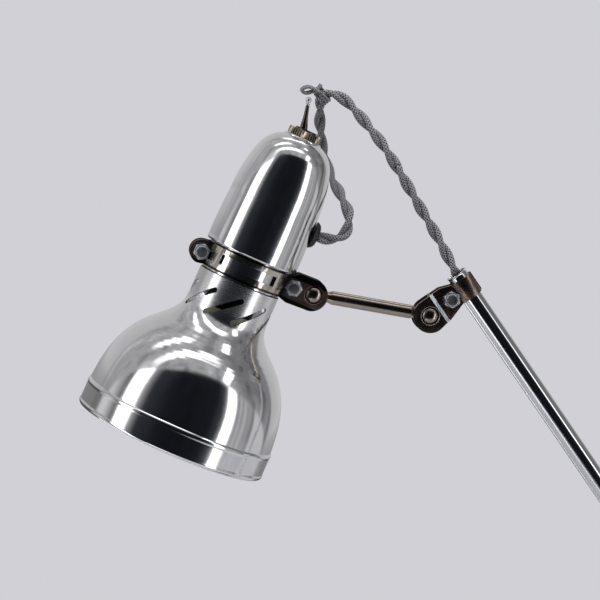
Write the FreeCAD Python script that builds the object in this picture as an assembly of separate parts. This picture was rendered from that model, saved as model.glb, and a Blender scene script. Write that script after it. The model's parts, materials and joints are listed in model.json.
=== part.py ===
import FreeCAD, Part
import math
import os

V = FreeCAD.Vector

# A machinist's desk lamp: a round weighted base with a swivelling post, two tube arms,
# a short link rod with a ball at each end, and a spun shade and bullet housing held in
# a pressed band.  Millimetres and degrees.  +Z is up, the origin is the centre of the
# base's underside, and the arms move in the XZ plane with the head toward -X.

# ---- Driving dimensions ----------------------------------------------------------

TUBE_R = 5.55               # 7/16 in tube
TUBE_BORE = 4.55
PLATE = 1.5                 # thickness of the pressed joint plates
BALL_R = 6.35               # 1/2 in ball
BALL_HOLE = 4.95            # hole in a plate that seats the ball
BALL_GAP = 4.05             # half the gap between two plates at a ball or an eye
BOLT_GAP = 2.7              # half the gap between two plates at the clamp bolt
LOBE_R = 9.3                # round end of a joint plate
REACH = 24.8                # ball or eye centre to the axis of the clamped tube
DROP = 10.3                 # ball or eye centre below the tube's open end
CLAMP_BOLT = (14.6, 0.8)    # clamp bolt from the ball centre: toward the tube, up it
PIVOT_R = 3.0               # pivot bolt through an eye
EYE_R = 6.8
NECK = 14.5                 # eye centre to the end of its tube
BOLT_R = 2.5
NUT_AF = 8.0
FLEX_R = 3.5                # twisted two-core braided flex, over both cores
INNER_FLEX_R = 3.25         # the same flex drawn tight inside a tube
TIE_R = 0.95
FLEX_END_GAP = 1.5          # inner flex stops this far inside a tube's mouth
SLIP = 0.05                 # clearance of parts that slide or turn in one another

BASE_R = 85.0
BASE_TOP = 34.0
BOSS_TOP = 40.0
POST_COLLAR_TOP = 50.0
SHOULDER_Z = 70.0

LOWER_TUBE = 300.0          # eye centre to open end
UPPER_TUBE = 300.0
LOWER_LEAN = 25.0           # from vertical, toward +X
UPPER_LEAN = -34.5
LINK_RISE = 10.6            # link rod above horizontal, going toward the head
LINK_LENGTH = 64.5          # ball centre to ball centre
ROD_R = 3.75
HEAD_LEAN = 24.0

HEAD_BALL = (39.3, 1.8)     # head ball in the head's frame: out from the axis, up it
HEAD_BOLT = (27.5, 1.2)
EAR_BOLT = (-25.8, -0.5)
EAR_R = 6.5
BAND_R = 22.4
BAND_LOW, BAND_HIGH = -6.3, 7.2
NECK_R = 22.8
RIM_R = 53.5
RIM_Z = -101.4
HOUSING_R = 25.9
HOUSING_TOP = 76.7
WALL = 1.0
TOGGLE_PIVOT_Z = 73.9
TOGGLE_LEAN = -13.8
GROMMET_Z = 31.3
GROMMET_OUT = 2.9           # how far the head grommet stands off the housing

COIL_R = 42.0               # centre of the middle turn of the stored mains lead
COIL_TURNS_WIDE = 3
COIL_TURNS_HIGH = 2
COIL_CENTRE = (-32.0, 174.0)
SIDE_HOLE = 60.0            # flex hole in an arm tube, above its eye


# ---- Helpers ---------------------------------------------------------------------

def frame(x, z, lean):
    """A frame in the arm plane whose own z leans toward +X."""
    return FreeCAD.Placement(V(x, 0, z), FreeCAD.Rotation(V(0, 1, 0), lean))


WORLD = FreeCAD.Placement()


def save(name, *solids, at=WORLD):
    shape = solids[0] if len(solids) == 1 else Part.Compound(list(solids))
    shape = shape.copy()
    shape.Placement = at.multiply(shape.Placement)
    shape.exportStep(f"parts/{name}.step")


def rod(radius, z_low, z_high):
    return Part.makeCylinder(radius, z_high - z_low, V(0, 0, z_low))


def pipe(outer, inner, z_low, z_high):
    return rod(outer, z_low, z_high).cut(rod(inner, z_low - 1, z_high + 1))


def rod_y(radius, x, z, y_low, y_high):
    return Part.makeCylinder(radius, y_high - y_low, V(x, y_low, z), V(0, 1, 0))


def rod_x(radius, z, x_low, x_high):
    return Part.makeCylinder(radius, x_high - x_low, V(x_low, 0, z), V(1, 0, 0))


def turned(outline):
    """A solid of revolution about Z, from (radius, z) points joined by straight edges.

    A 4-number entry is an arc: its middle, then its end.  A list of points is a smooth
    curve through them.
    """
    edges, last = [], V(outline[0][0], 0, outline[0][1])
    for entry in [*outline[1:], outline[0]]:
        if isinstance(entry, list):
            curve = smooth([(last.x, last.z), *entry])
            edges.append(curve.toShape())
            last = V(entry[-1][0], 0, entry[-1][1])
            continue
        end = V(entry[-2], 0, entry[-1])
        if len(entry) == 4:
            edges.append(Part.Arc(last, V(entry[0], 0, entry[1]), end).toShape())
        else:
            edges.append(Part.LineSegment(last, end).toShape())
        last = end
    face = Part.Face(Part.Wire(edges))
    solid = face.revolve(V(), V(0, 0, 1), 360)
    return solid if solid.Volume > 0 else face.revolve(V(), V(0, 0, -1), 360)


def smooth(profile):
    curve = Part.BSplineCurve()
    curve.interpolate([V(r, 0, z) for r, z in profile])
    return curve


def inset(profile, thickness):
    """The (radius, z) points of a smooth profile moved in square to it, last one first."""
    curve, moved = smooth(profile), []
    steps = 12
    for i in range(steps, -1, -1):
        at = curve.FirstParameter + (curve.LastParameter - curve.FirstParameter) * i / steps
        point, tangent = curve.value(at), curve.tangent(at)[0]
        moved.append((point.x + tangent.z * thickness, point.z - tangent.x * thickness))
    return moved


def hexagon(across_flats, y_low, y_high, x, z, turn=0.0):
    """A chamfered hexagonal prism along Y."""
    corner = across_flats / math.sqrt(3)
    height = y_high - y_low
    points = [V(corner * math.cos(math.radians(60 * i + turn)), 0,
                corner * math.sin(math.radians(60 * i + turn))) for i in range(7)]
    prism = Part.Face(Part.makePolygon(points)).extrude(V(0, height, 0))
    bevel = 0.09 * across_flats
    cap = turned([(0, 0), (corner - bevel, 0), (corner, bevel * 0.6),
                  (corner, height - bevel * 0.6), (corner - bevel, height), (0, height)])
    cap.Placement = FreeCAD.Placement(V(), FreeCAD.Rotation(V(1, 0, 0), -90))
    nut = prism.common(cap)
    nut.translate(V(x, y_low, z))
    return nut


def bolt_and_nut(x, z, front, rear, radius=BOLT_R, across=NUT_AF, turn=0.0, shoulder=0.0):
    """A bolt with its head behind and a locking nut in front: faces at -front and rear.

    A shouldered bolt spaces the plates it passes through.
    """
    nut_high = 0.62 * across
    tip = front + nut_high + 0.3
    bolt = rod_y(radius, x, z, -tip, rear).fuse(
        hexagon(across, rear, rear + 0.44 * across, x, z, turn))
    if shoulder:
        bolt = bolt.fuse(rod_y(shoulder, x, z, PLATE - front + 0.02, rear - PLATE - 0.02))
    tall = hexagon(across, -front - 0.7 * nut_high, -front, x, z, turn)
    collar = rod_y(0.42 * across, x, z, -front - nut_high, -front - 0.5 * nut_high)
    rim = [e for e in collar.Edges if abs(e.BoundBox.YMax + front + nut_high) < 0.01]
    collar = collar.makeFillet(0.45, rim)
    nut = tall.fuse(collar).cut(rod_y(radius + 0.02, x, z, -tip - 1, 0))
    return bolt.removeSplitter(), nut.removeSplitter()


def rounded(solid, radius, keep):
    """Fillets the edges for which keep(edge) is true."""
    edges = [e for e in solid.Edges if keep(e)]
    return solid.makeFillet(radius, edges) if edges else solid


# ---- Joint plates ----------------------------------------------------------------

def outline_prism(points, arcs_at, depth):
    """A prism along Y from an outline in XZ; arcs_at gives {index: arc middle}."""
    edges = []
    for i, (x, z) in enumerate(points):
        nx, nz = points[(i + 1) % len(points)]
        if i in arcs_at:
            mx, mz = arcs_at[i]
            edges.append(Part.Arc(V(x, 0, z), V(mx, 0, mz), V(nx, 0, nz)).toShape())
        else:
            edges.append(Part.LineSegment(V(x, 0, z), V(nx, 0, nz)).toShape())
    face = Part.Face(Part.Wire(edges))
    face.translate(V(0, -depth, 0))
    return face.extrude(V(0, 2 * depth, 0))


def clamp_plate(side, hole, fold, wrap):
    """Half of a clamp: a lobe that holds a ball or an eye, and a channel round the tube.

    The tube's open end is at the origin and the lobe is toward -X.  side is -1 in front
    and +1 behind; fold is where the plate steps in, from the lobe's centre; wrap is how
    far the channel goes round, in degrees past its crown.
    """
    step, grow = 2.0, 0.46
    inner_r, outer_r = TUBE_R + 0.03, TUBE_R + 0.03 + PLATE
    low, high = BOLT_GAP, BOLT_GAP + PLATE
    inner_x = -math.sqrt(inner_r ** 2 - low ** 2)
    outer_x = -math.sqrt(outer_r ** 2 - high ** 2)
    end = math.radians(90 - wrap)
    start = -REACH - LOBE_R - 1

    def at(x, y):
        return V(x, side * y, 0)

    def on_arc(radius, angle):
        return at(radius * math.cos(angle), radius * math.sin(angle))

    inner = [at(start, BALL_GAP), at(-REACH + fold, BALL_GAP),
             at(-REACH + fold + step, low), at(inner_x, low)]
    outer = [at(start, BALL_GAP + PLATE), at(-REACH + fold + grow, BALL_GAP + PLATE),
             at(-REACH + fold + step + grow, high), at(outer_x, high)]
    edges = [Part.LineSegment(a, b).toShape() for a, b in zip(inner, inner[1:])]
    edges.append(Part.Arc(inner[-1], on_arc(inner_r, math.pi / 2), on_arc(inner_r, end)).toShape())
    edges.append(Part.LineSegment(on_arc(inner_r, end), on_arc(outer_r, end)).toShape())
    edges.append(Part.Arc(on_arc(outer_r, end), on_arc(outer_r, math.pi / 2), outer[-1]).toShape())
    edges += [Part.LineSegment(b, a).toShape() for a, b in zip(outer, outer[1:])]
    edges.append(Part.LineSegment(outer[0], inner[0]).toShape())
    strip = Part.Face(Part.Wire(Part.__sortEdges__(edges))).extrude(V(0, 0, 40))
    strip.translate(V(0, 0, -DROP - 20))

    def from_ball(x, z):
        return (x - REACH, z - DROP)

    far = REACH + outer_r + 2
    points = [from_ball(0, LOBE_R), from_ball(0, -LOBE_R), from_ball(5.5, -8.4),
              from_ball(8.4, -8.3), from_ball(18.6, -4.9), from_ball(far, -4.6),
              from_ball(far, 6.8), from_ball(REACH - 6, 7.0), from_ball(12.5, LOBE_R)]
    prism = outline_prism(points, {0: from_ball(-LOBE_R, 0)}, 12)
    plate = strip.common(prism)
    plate = plate.cut(rod_y(hole, -REACH, -DROP, -12, 12))
    bolt_x, bolt_z = from_ball(*CLAMP_BOLT)
    plate = plate.cut(rod_y(BOLT_R + 0.1, bolt_x, bolt_z, -12, 12))
    outer_face = side * (BALL_GAP + PLATE)
    return rounded(plate, 0.35, lambda e: abs(e.BoundBox.YMax - outer_face) < 0.01
                   and e.BoundBox.YLength < 0.01 and e.isClosed())


def clamp_bolt(turn=0.0):
    x, z = CLAMP_BOLT[0] - REACH, CLAMP_BOLT[1] - DROP
    return bolt_and_nut(x, z, BOLT_GAP + PLATE, BOLT_GAP + PLATE, turn=turn)


def pivot_bolt():
    face = BALL_GAP + PLATE
    return bolt_and_nut(-REACH, -DROP, face, face, radius=PIVOT_R, across=10.0, turn=8.0)


def eye_end():
    """The forged eye pressed into the lower end of an arm tube; the eye is the origin."""
    half = BALL_GAP - 0.1
    tongue = Part.makeBox(9.6, 2 * half, NECK - 1, V(-4.8, -half, 0))
    body = tongue.fuse([rod_y(EYE_R, 0, 0, -half, half), rod(TUBE_R, NECK - 2, NECK),
                        rod(TUBE_BORE - 0.02, NECK - 0.5, NECK + 14)])
    return body.cut(rod_y(PIVOT_R + SLIP, 0, 0, -9, 9)).removeSplitter()


def arm_tube(length, hole_side):
    """An arm tube with its open, slightly belled end at the origin and its eye below."""
    tube = turned([(TUBE_BORE, NECK - length), (TUBE_R, NECK - length), (TUBE_R, -1.6),
                   (TUBE_R + 0.12, -0.7, TUBE_R + 0.6, 0), (TUBE_BORE + 0.5, 0),
                   (TUBE_BORE, -0.7)])
    hole_z = SIDE_HOLE - length
    span = (0, 9) if hole_side > 0 else (-9, 0)
    return tube.cut(rod_x(4.25, hole_z, *span))


def mouth_bush():
    """The rubber bush in a tube's open end."""
    return pipe(TUBE_BORE - 0.02, INNER_FLEX_R + 0.35, -8.0, -1.0)


def side_grommet(length, hole_side):
    hole_z = SIDE_HOLE - length
    collar = rod_x(6.0, hole_z, 5.6, 7.8).fuse(rod_x(4.2, hole_z, 3.6, 5.7))
    grommet = collar.cut(rod_x(FLEX_R + 0.05, hole_z, 0, 9)).removeSplitter()
    if hole_side < 0:
        grommet.rotate(V(0, 0, hole_z), V(0, 0, 1), 180)
    return grommet


# ---- Cords -----------------------------------------------------------------------

def cord_tube(name, route, radius, body_frame=WORLD):
    """A tube of straight runs joined by tangent arcs, each as large as its runs allow."""
    points = [V(*p) for p in route]
    edges, radii, start = [], [], points[0]
    for before, corner, after in zip(points, points[1:], points[2:]):
        arrive, leave = (corner - before).normalize(), (after - corner).normalize()
        half_turn = arrive.getAngle(leave) / 2
        reach = 0.45 * min((corner - before).Length, (after - corner).Length)
        arc_radius = reach / math.tan(half_turn)
        inward = (leave - arrive).normalize()
        middle = corner + inward * (arc_radius / math.cos(half_turn) - arc_radius)
        into, out = corner - arrive * reach, corner + leave * reach
        edges += [Part.LineSegment(start, into).toShape(), Part.Arc(into, middle, out).toShape()]
        radii.append(arc_radius)
        start = out
    edges.append(Part.LineSegment(start, points[-1]).toShape())
    path = Part.Wire(edges)
    circle = Part.Circle(points[0], points[1] - points[0], radius)
    tube = path.makePipeShell([Part.Wire(circle.toShape())], True, False)
    share = tube.Volume / (math.pi * radius ** 2 * path.Length)
    listed = " ".join(f"{r:.0f}" for r in radii)
    print(f"{name}: {path.Length:.0f} mm, volume share {share:.3f}, arc radii {listed}")
    save(name, tube, at=body_frame)


# ---- Frames of the moving parts at rest ---------------------------------------------

POST_TOP = SHOULDER_Z + DROP
SHOULDER = (REACH, SHOULDER_Z)


def along(origin, lean, out, up):
    """The point `out` across and `up` along a direction leaning from vertical."""
    s, c = math.sin(math.radians(lean)), math.cos(math.radians(lean))
    return (origin[0] + out * c + up * s, origin[1] - out * s + up * c)


LOWER_END = along(SHOULDER, LOWER_LEAN, 0, LOWER_TUBE)
ELBOW = along(LOWER_END, LOWER_LEAN, -REACH, -DROP)
UPPER_END = along(ELBOW, UPPER_LEAN, 0, UPPER_TUBE)
WRIST = along(UPPER_END, UPPER_LEAN, -REACH, -DROP)
HEAD_PIVOT = along(WRIST, 0, -LINK_LENGTH * math.cos(math.radians(LINK_RISE)),
                   LINK_LENGTH * math.sin(math.radians(LINK_RISE)))
HEAD = along(HEAD_PIVOT, HEAD_LEAN, -HEAD_BALL[0], -HEAD_BALL[1])
TOGGLE_PIVOT = along(HEAD, HEAD_LEAN, 0, TOGGLE_PIVOT_Z)

POST_FRAME = FreeCAD.Placement(V(0, 0, POST_TOP), FreeCAD.Rotation(V(0, 0, 1), 180))
LOWER_FRAME = frame(*LOWER_END, LOWER_LEAN)
UPPER_FRAME = frame(*UPPER_END, UPPER_LEAN)
HEAD_FRAME = frame(*HEAD, HEAD_LEAN)


# ---- Base -----------------------------------------------------------------------

def base():
    wall, gland_z = 1.5, 10.0
    save("base_pad", rod(BASE_R - 3, 0, 2))

    cover = turned([(BASE_R, 1.0), (BASE_R, 20), (BASE_R - 3.6, 29.5, BASE_R - 14, BASE_TOP),
                    (24, BASE_TOP), (19.5, BASE_TOP + 1.5, 18, BOSS_TOP),
                    (14.2, BOSS_TOP), (14.2, BOSS_TOP - wall), (16.6, BOSS_TOP - wall),
                    (18.3, BASE_TOP + 0.2, 23.4, BASE_TOP - wall),
                    (BASE_R - 14, BASE_TOP - wall),
                    (BASE_R - 4.7, 28.5, BASE_R - wall, 20), (BASE_R - wall, 1.0)])
    hole = Part.makeCylinder(6.2, 20, V(0, BASE_R - 10, gland_z), V(0, 1, 0))
    save("base_cover", cover.cut(hole))

    weight = rod(BASE_R - 5, 2, BASE_TOP - 7).cut(rod(14.5, 0, 50))
    channel = Part.makeBox(17, BASE_R, 17, V(-8.5, 0, 2))
    weight = weight.cut(channel)
    screws = []
    for angle in (30, 150, 270):
        x = 58 * math.cos(math.radians(angle))
        y = 58 * math.sin(math.radians(angle))
        weight = weight.cut(Part.makeCylinder(2.6, 60, V(x, y, 0)))
        weight = weight.cut(Part.makeCone(5.3, 2.6, 3.0, V(x, y, 2)))
        screw = Part.makeCone(5.2, 2.5, 2.9, V(x, y, 2)).fuse(
            Part.makeCylinder(2.5, BASE_TOP - wall - 2, V(x, y, 2)))
        slot = Part.makeBox(12, 1.0, 0.9, V(x - 6, y - 0.5, 2))
        screws.append(screw.cut(slot).removeSplitter())
    save("base_weight", weight)
    save("base_screws", *screws)

    sleeve = turned([(FLEX_R + 0.05, -9), (7.8, -9), (7.8, -6), (6.1, -6), (6.1, 0.4), (8.2, 0.4),
                     (8.2, 3.0), (5.0, 24), (FLEX_R + 0.05, 24)])
    gland_at = FreeCAD.Placement(V(0, BASE_R, gland_z), FreeCAD.Rotation(V(1, 0, 0), -90))
    save("base_gland", sleeve, at=gland_at)

    bush = turned([(8.0 + SLIP, 23.4), (13.8, 23.4), (13.8, BOSS_TOP + 0.02),
                   (17.5, BOSS_TOP + 0.02), (17.5, BOSS_TOP + 1.9), (8.0 + SLIP, BOSS_TOP + 1.9)])
    save("swivel_bush", bush)

    bend = 9.5
    start, into = V(0, BASE_R - 9, gland_z - 1.5), V(0, bend, gland_z - 1.5)
    out = V(0, 0, gland_z - 1.5 + bend)
    s = bend * (1 - math.sqrt(0.5))
    middle = V(0, s, gland_z - 1.5 + s)
    path = Part.Wire([Part.LineSegment(start, into).toShape(), Part.Arc(into, middle, out).toShape(),
                      Part.LineSegment(out, V(0, 0, POST_TOP - FLEX_END_GAP)).toShape()])
    circle = Part.Wire(Part.Circle(start, V(0, -1, 0), INNER_FLEX_R).toShape())
    save("base_inner_flex", path.makePipeShell([circle], True, False))


def post():
    bottom = 20.2
    spindle = turned([(TUBE_BORE, bottom), (8.0, bottom), (8.0, BOSS_TOP + 2.0),
                      (13, BOSS_TOP + 2.0), (13, POST_COLLAR_TOP - 3),
                      (11.8, POST_COLLAR_TOP - 0.6, 8.5, POST_COLLAR_TOP),
                      (TUBE_R, POST_COLLAR_TOP + 1.2), (TUBE_R, POST_TOP - 1.6),
                      (TUBE_R + 0.12, POST_TOP - 0.7, TUBE_R + 0.6, POST_TOP),
                      (TUBE_BORE + 0.5, POST_TOP), (TUBE_BORE, POST_TOP - 0.7)])
    save("post", spindle)
    ring = Part.makeCylinder(12, 3, V(0, 0, bottom)).cut(rod(8.02, 0, 60))
    flat = Part.makeBox(4, 30, 10, V(10.2, -15, bottom - 1))
    save("swivel_nut", ring.cut(flat))
    joint("shoulder", POST_FRAME)
    save("post_bush", mouth_bush(), at=POST_FRAME)


def joint(name, at):
    """A bolted clamp joint that holds the eye of the next arm."""
    fold = 7.2
    save(f"{name}_plate_front", clamp_plate(-1, PIVOT_R + 0.1, fold, 60), at=at)
    save(f"{name}_plate_rear", clamp_plate(1, PIVOT_R + 0.1, fold, 88), at=at)
    save(f"{name}_fasteners", *clamp_bolt(), *pivot_bolt(), at=at)


def arms():
    for name, length, lean, end, at, hole_side in (
            ("lower", LOWER_TUBE, LOWER_LEAN, SHOULDER, LOWER_FRAME, -1),
            ("upper", UPPER_TUBE, UPPER_LEAN, ELBOW, UPPER_FRAME, 1)):
        save(f"{name}_tube", arm_tube(length, hole_side), at=at)
        save(f"{name}_eye", eye_end(), at=frame(*end, lean))
        save(f"{name}_bush", mouth_bush(), at=at)
        save(f"{name}_grommet", side_grommet(length, hole_side), at=at)
        save(f"{name}_inner_flex", rod(INNER_FLEX_R, SIDE_HOLE - length - 4, -FLEX_END_GAP),
             at=at)
    joint("elbow", LOWER_FRAME)
    save("wrist_plate_front", clamp_plate(-1, BALL_HOLE, 5.1, 62), at=UPPER_FRAME)
    save("wrist_plate_rear", clamp_plate(1, BALL_HOLE, 5.1, 88), at=UPPER_FRAME)
    bolt, nut = clamp_bolt()
    save("wrist_bolt", bolt, at=UPPER_FRAME)
    save("wrist_nut", nut, at=UPPER_FRAME)


# ---- Link rod ---------------------------------------------------------------------

def link():
    """The rod along its own z, from the wrist ball at the origin to the head ball."""
    at = frame(*WRIST, LINK_RISE - 90)
    spigot = 2.5
    ball = Part.makeSphere(BALL_R).cut(rod(spigot + SLIP, -20, 20))
    save("wrist_ball", ball, at=at)
    neck, flare = 7.6, 10.5
    body = turned([(0, -5.4), (spigot, -5.4), (spigot, BALL_R + 0.2), (2.9, BALL_R + 0.2),
                   (2.9, neck), (ROD_R, flare), (ROD_R, LINK_LENGTH - flare),
                   (2.9, LINK_LENGTH - neck), (2.9, LINK_LENGTH), (0, LINK_LENGTH)])
    head_ball = Part.makeSphere(BALL_R, V(0, 0, LINK_LENGTH))
    save("link_rod", body.fuse(head_ball).removeSplitter(), at=at)


# ---- Head -------------------------------------------------------------------------

def band_half(side):
    """Half of the pressed band: an ear on the left and a pair plate's half on the right."""
    inner_r = BAND_R - 1.1
    ring = pipe(BAND_R, inner_r, BAND_LOW, BAND_HIGH)
    for z in (BAND_LOW, BAND_HIGH - 0.9):
        ring = ring.fuse(pipe(BAND_R + 0.9, BAND_R - 0.3, z, z + 0.9))
    ring = ring.common(Part.makeBox(120, 60, 40, V(-60, 0.8 if side > 0 else -60.8, -20)))
    window = Part.makeBox(200, 60, 5.4, V(-100, 0 if side > 0 else -60, -2.1))
    cheeks = [Part.makeBox(60, 90, 20, V(15.8, -45, -10)), Part.makeBox(60, 90, 20, V(-75.8, -45, -10))]
    ring = ring.cut(window.cut(cheeks[0]).cut(cheeks[1]))

    inside = BALL_GAP
    web = math.sqrt(BAND_R ** 2 - inside ** 2)
    low, high = (inside, inside + PLATE) if side > 0 else (-inside - PLATE, -inside)
    ear_x, ear_z = EAR_BOLT
    ear = outline_prism([(ear_x, ear_z + EAR_R), (ear_x, ear_z - EAR_R),
                         (1.2 - web, BAND_LOW + 0.3), (1.2 - web, BAND_HIGH - 0.3)],
                        {0: (ear_x - EAR_R, ear_z)}, 20)
    ear = ear.common(Part.makeBox(100, high - low, 60, V(-80, low, -30)))

    top, bottom = 9.2, -9.0
    ball_x, ball_z = HEAD_BALL
    pear = outline_prism([(ball_x - 1.5, ball_z + top - 1.0), (HEAD_BOLT[0], 9.6),
                          (HOUSING_R - 0.4, 7.4), (web - 1.2, BAND_HIGH - 0.2),
                          (web - 1.2, BAND_LOW + 0.2), (HEAD_BOLT[0] - 1, -7.8),
                          (ball_x - 1.5, ball_z + bottom)],
                         {6: (ball_x + 7.6, ball_z - 0.2)}, 20)
    pear = pear.common(Part.makeBox(100, high - low, 60, V(-20, low, -30)))
    hollow = rod(inner_r, -30, 30)
    half = ring.fuse([ear.cut(hollow), pear.cut(hollow)])
    half = half.cut(rod_y(BALL_HOLE, ball_x, ball_z, -20, 20))
    half = half.cut(rod_y(BOLT_R + 0.1, *HEAD_BOLT, -20, 20))
    half = half.cut(rod_y(BOLT_R + 0.1, *EAR_BOLT, -20, 20)).removeSplitter()
    face_y = side * (inside + PLATE)
    return rounded(half, 0.35, lambda e: abs(e.BoundBox.YMax - face_y) < 0.01
                   and e.BoundBox.YLength < 0.01 and e.isClosed())


def shade():
    bell = [(NECK_R, -8.3), (NECK_R, -15), (NECK_R, -22), (23.4, -27.6), (26.2, -33.2),
            (30.6, -38.2), (35.6, -42.8), (41.2, -49.0), (46.2, -57.0), (49.8, -66.2),
            (51.9, -76.0), (52.9, -86.2)]
    lining = inset(bell, WALL)
    body = turned([(15.0, -7.3), (NECK_R, -7.3), bell[0], bell[1:], (53.7, -88.0, RIM_R, -89.2),
                   (RIM_R, -98.6), (RIM_R - 0.1, -100.9, RIM_R - 2.4, RIM_Z),
                   (RIM_R - 3.0, -100.2, RIM_R - 2.2, -99.4), (RIM_R - WALL, -98.4),
                   (RIM_R - WALL, -89.2), lining[0], lining[1:], (15.0, -8.3)])
    end_r, half, count = 1.45, 9.9, 9
    slot = outline_prism([(end_r, -half), (end_r, half), (-end_r, half), (-end_r, -half)],
                         {1: (0, half + end_r), 3: (0, -half - end_r)}, 7)
    slot.rotate(V(), V(0, 1, 0), 51.5)
    slot.translate(V(0, -21, -21.8))
    for i in range(count):
        cutter = slot.copy()
        cutter.rotate(V(), V(0, 0, 1), 360 * i / count - 12.5)
        body = body.cut(cutter)
    save("shade", body, at=HEAD_FRAME)


def housing():
    shell = turned([(HOUSING_R, 9.2), (25.7, 25, 25.05, 38), (23.8, 53.5, 20.9, 65),
                    (17.0, 71.6, 10.6, 75.9), (10.2, HOUSING_TOP - 0.1, 9.6, HOUSING_TOP),
                    (6.1, HOUSING_TOP), (6.1, HOUSING_TOP - WALL), (9.4, HOUSING_TOP - WALL),
                    (16.2, 71.0, 19.9, 64.8), (22.8, 53.4, 24.05, 38),
                    (24.7, 25, 24.9, 9.4), (24.4, 8.6), (21.2, 8.6), (21.2, 7.7), (24.6, 7.7),
                    (25.6, 8.1, HOUSING_R, 9.2)][:-1])
    shell = shell.cut(rod_x(5.0, GROMMET_Z, 10, 40))
    save("housing", shell, at=HEAD_FRAME)


def head():
    for name, side in (("band_front", -1), ("band_rear", 1)):
        save(name, band_half(side), at=HEAD_FRAME)
    face = BALL_GAP + PLATE
    right = bolt_and_nut(*HEAD_BOLT, face, face, turn=14.0, shoulder=3.2)
    left = bolt_and_nut(*EAR_BOLT, face, face, turn=30.0, shoulder=3.2)
    save("band_bolts", right[0], left[0], at=HEAD_FRAME)
    save("band_nuts", right[1], left[1], at=HEAD_FRAME)

    core = pipe(20.9, 19.9, -7.25, 17)
    save("neck_core", core, at=HEAD_FRAME)
    shade()
    housing()

    bore = FLEX_R + 0.05
    grommet = turned([(bore, -4.9), (6.8, -4.9), (6.8, -2.7), (4.95, -2.7), (4.95, 0.05),
                      (7.5, 0.05), (6.6, 1.7, 4.6, GROMMET_OUT), (bore, GROMMET_OUT)])
    side = FreeCAD.Placement(V(HOUSING_R, 0, GROMMET_Z), FreeCAD.Rotation(V(0, 1, 0), 90))
    save("head_grommet", grommet, at=HEAD_FRAME.multiply(side))

    bridge = pipe(19.8, 8.3, -1.5, 0)
    for angle in range(30, 210, 60):
        x, y = 14.5 * math.cos(math.radians(angle)), 14.5 * math.sin(math.radians(angle))
        bridge = bridge.cut(Part.makeCylinder(2.2, 6, V(x, y, -4)))
    for x in (-11, 11):
        bridge = bridge.cut(Part.makeCylinder(1.45, 6, V(x, 0, -4)))
    save("holder_bridge", bridge, at=HEAD_FRAME)
    screws = []
    for angle in (0, 180):
        screw = Part.makeCylinder(1.4, 14, V(11, 0, -7.5)).fuse(Part.makeCylinder(2.6, 1.8, V(11, 0, 0.02)))
        screw.rotate(V(), V(0, 0, 1), angle)
        screws.append(screw)
    save("bridge_screws", *screws, at=HEAD_FRAME)
    holder = turned([(0, -6.9), (0, 6), (8.0, 6), (8.0, -1.6), (13.4, -1.6), (16.6, -5.8),
                     (16.6, -7.28), (14.0, -7.28), (14.0, -36), (11.9, -36), (11.9, -14), (0, -14)])
    for angle in (0, 180):
        drill = Part.makeCylinder(1.45, 12, V(11, 0, -8))
        drill.rotate(V(), V(0, 0, 1), angle)
        holder = holder.cut(drill)
    save("lampholder", holder.removeSplitter(), at=HEAD_FRAME)
    ring = turned([(14.05, -8.35), (17.8, -8.35), (17.8, -12), (14.05, -12)])
    save("shade_ring", ring, at=HEAD_FRAME)

    cap = turned([(0, -14.5), (8, -14.5), (11, -17), (11, -40), (10.2, -40), (10.2, -18), (0, -18)])
    save("bulb_cap", cap, at=HEAD_FRAME)
    middle, radius, glass = -66.0, 22.5, 0.8

    def on_globe(globe_r, angle):
        return (globe_r * math.cos(math.radians(angle)),
                middle + globe_r * math.sin(math.radians(angle)))

    inner = radius - glass
    bulb = turned([(10.1, -36), (10.1, -42), (12.3, -47.6, *on_globe(radius, 40)),
                   (*on_globe(radius, -25), 0, middle - radius), (0, middle - inner),
                   (*on_globe(inner, -25), *on_globe(inner, 40)),
                   (12.3 - glass, -47.7, 10.1 - glass, -42), (10.1 - glass, -36)])
    save("bulb_glass", bulb, at=HEAD_FRAME)

    block = Part.makeBox(19, 13, 24, V(-9.5, -6.5, 46))
    bush = rod(6.0, 69.9, 81.6)
    switch = block.fuse(bush).cut(rod(4.0, 70.6, 90)).removeSplitter()
    for x in (-6, 6):
        switch = switch.fuse(Part.makeBox(1.0, 5, 7, V(x - 0.5, -2.5, 39.2)))
    save("switch_body", switch, at=HEAD_FRAME)

    knurls = 40
    teeth = []
    for i in range(2 * knurls + 1):
        radius = 9.2 if i % 2 else 8.75
        angle = math.pi * i / knurls
        teeth.append(V(radius * math.cos(angle), radius * math.sin(angle), 0))
    ring = Part.Face(Part.makePolygon(teeth)).extrude(V(0, 0, 4.0))
    ring = ring.common(turned([(6.05, 0), (8.7, 0), (9.3, 0.5), (9.3, 3.5), (8.7, 4.0), (6.05, 4.0)]))
    ring.translate(V(0, 0, HOUSING_TOP + 0.03))
    save("ring_nut", ring, at=HEAD_FRAME)

    lever = turned([(0, -2.3), (1.6, -1.6, 2.3, 0), (2.2, 5.2), (2.1, 8.6), (1.3, 14), (0.95, 20.5),
                    (1.25, 22.3), (1.5, 23.6, 0.9, 24.8), (0, 25.1)])
    save("toggle_lever", lever, at=frame(*TOGGLE_PIVOT, HEAD_LEAN + TOGGLE_LEAN))


# ---- Flex, its tie, the mains lead and its plug ---------------------------------------

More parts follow.
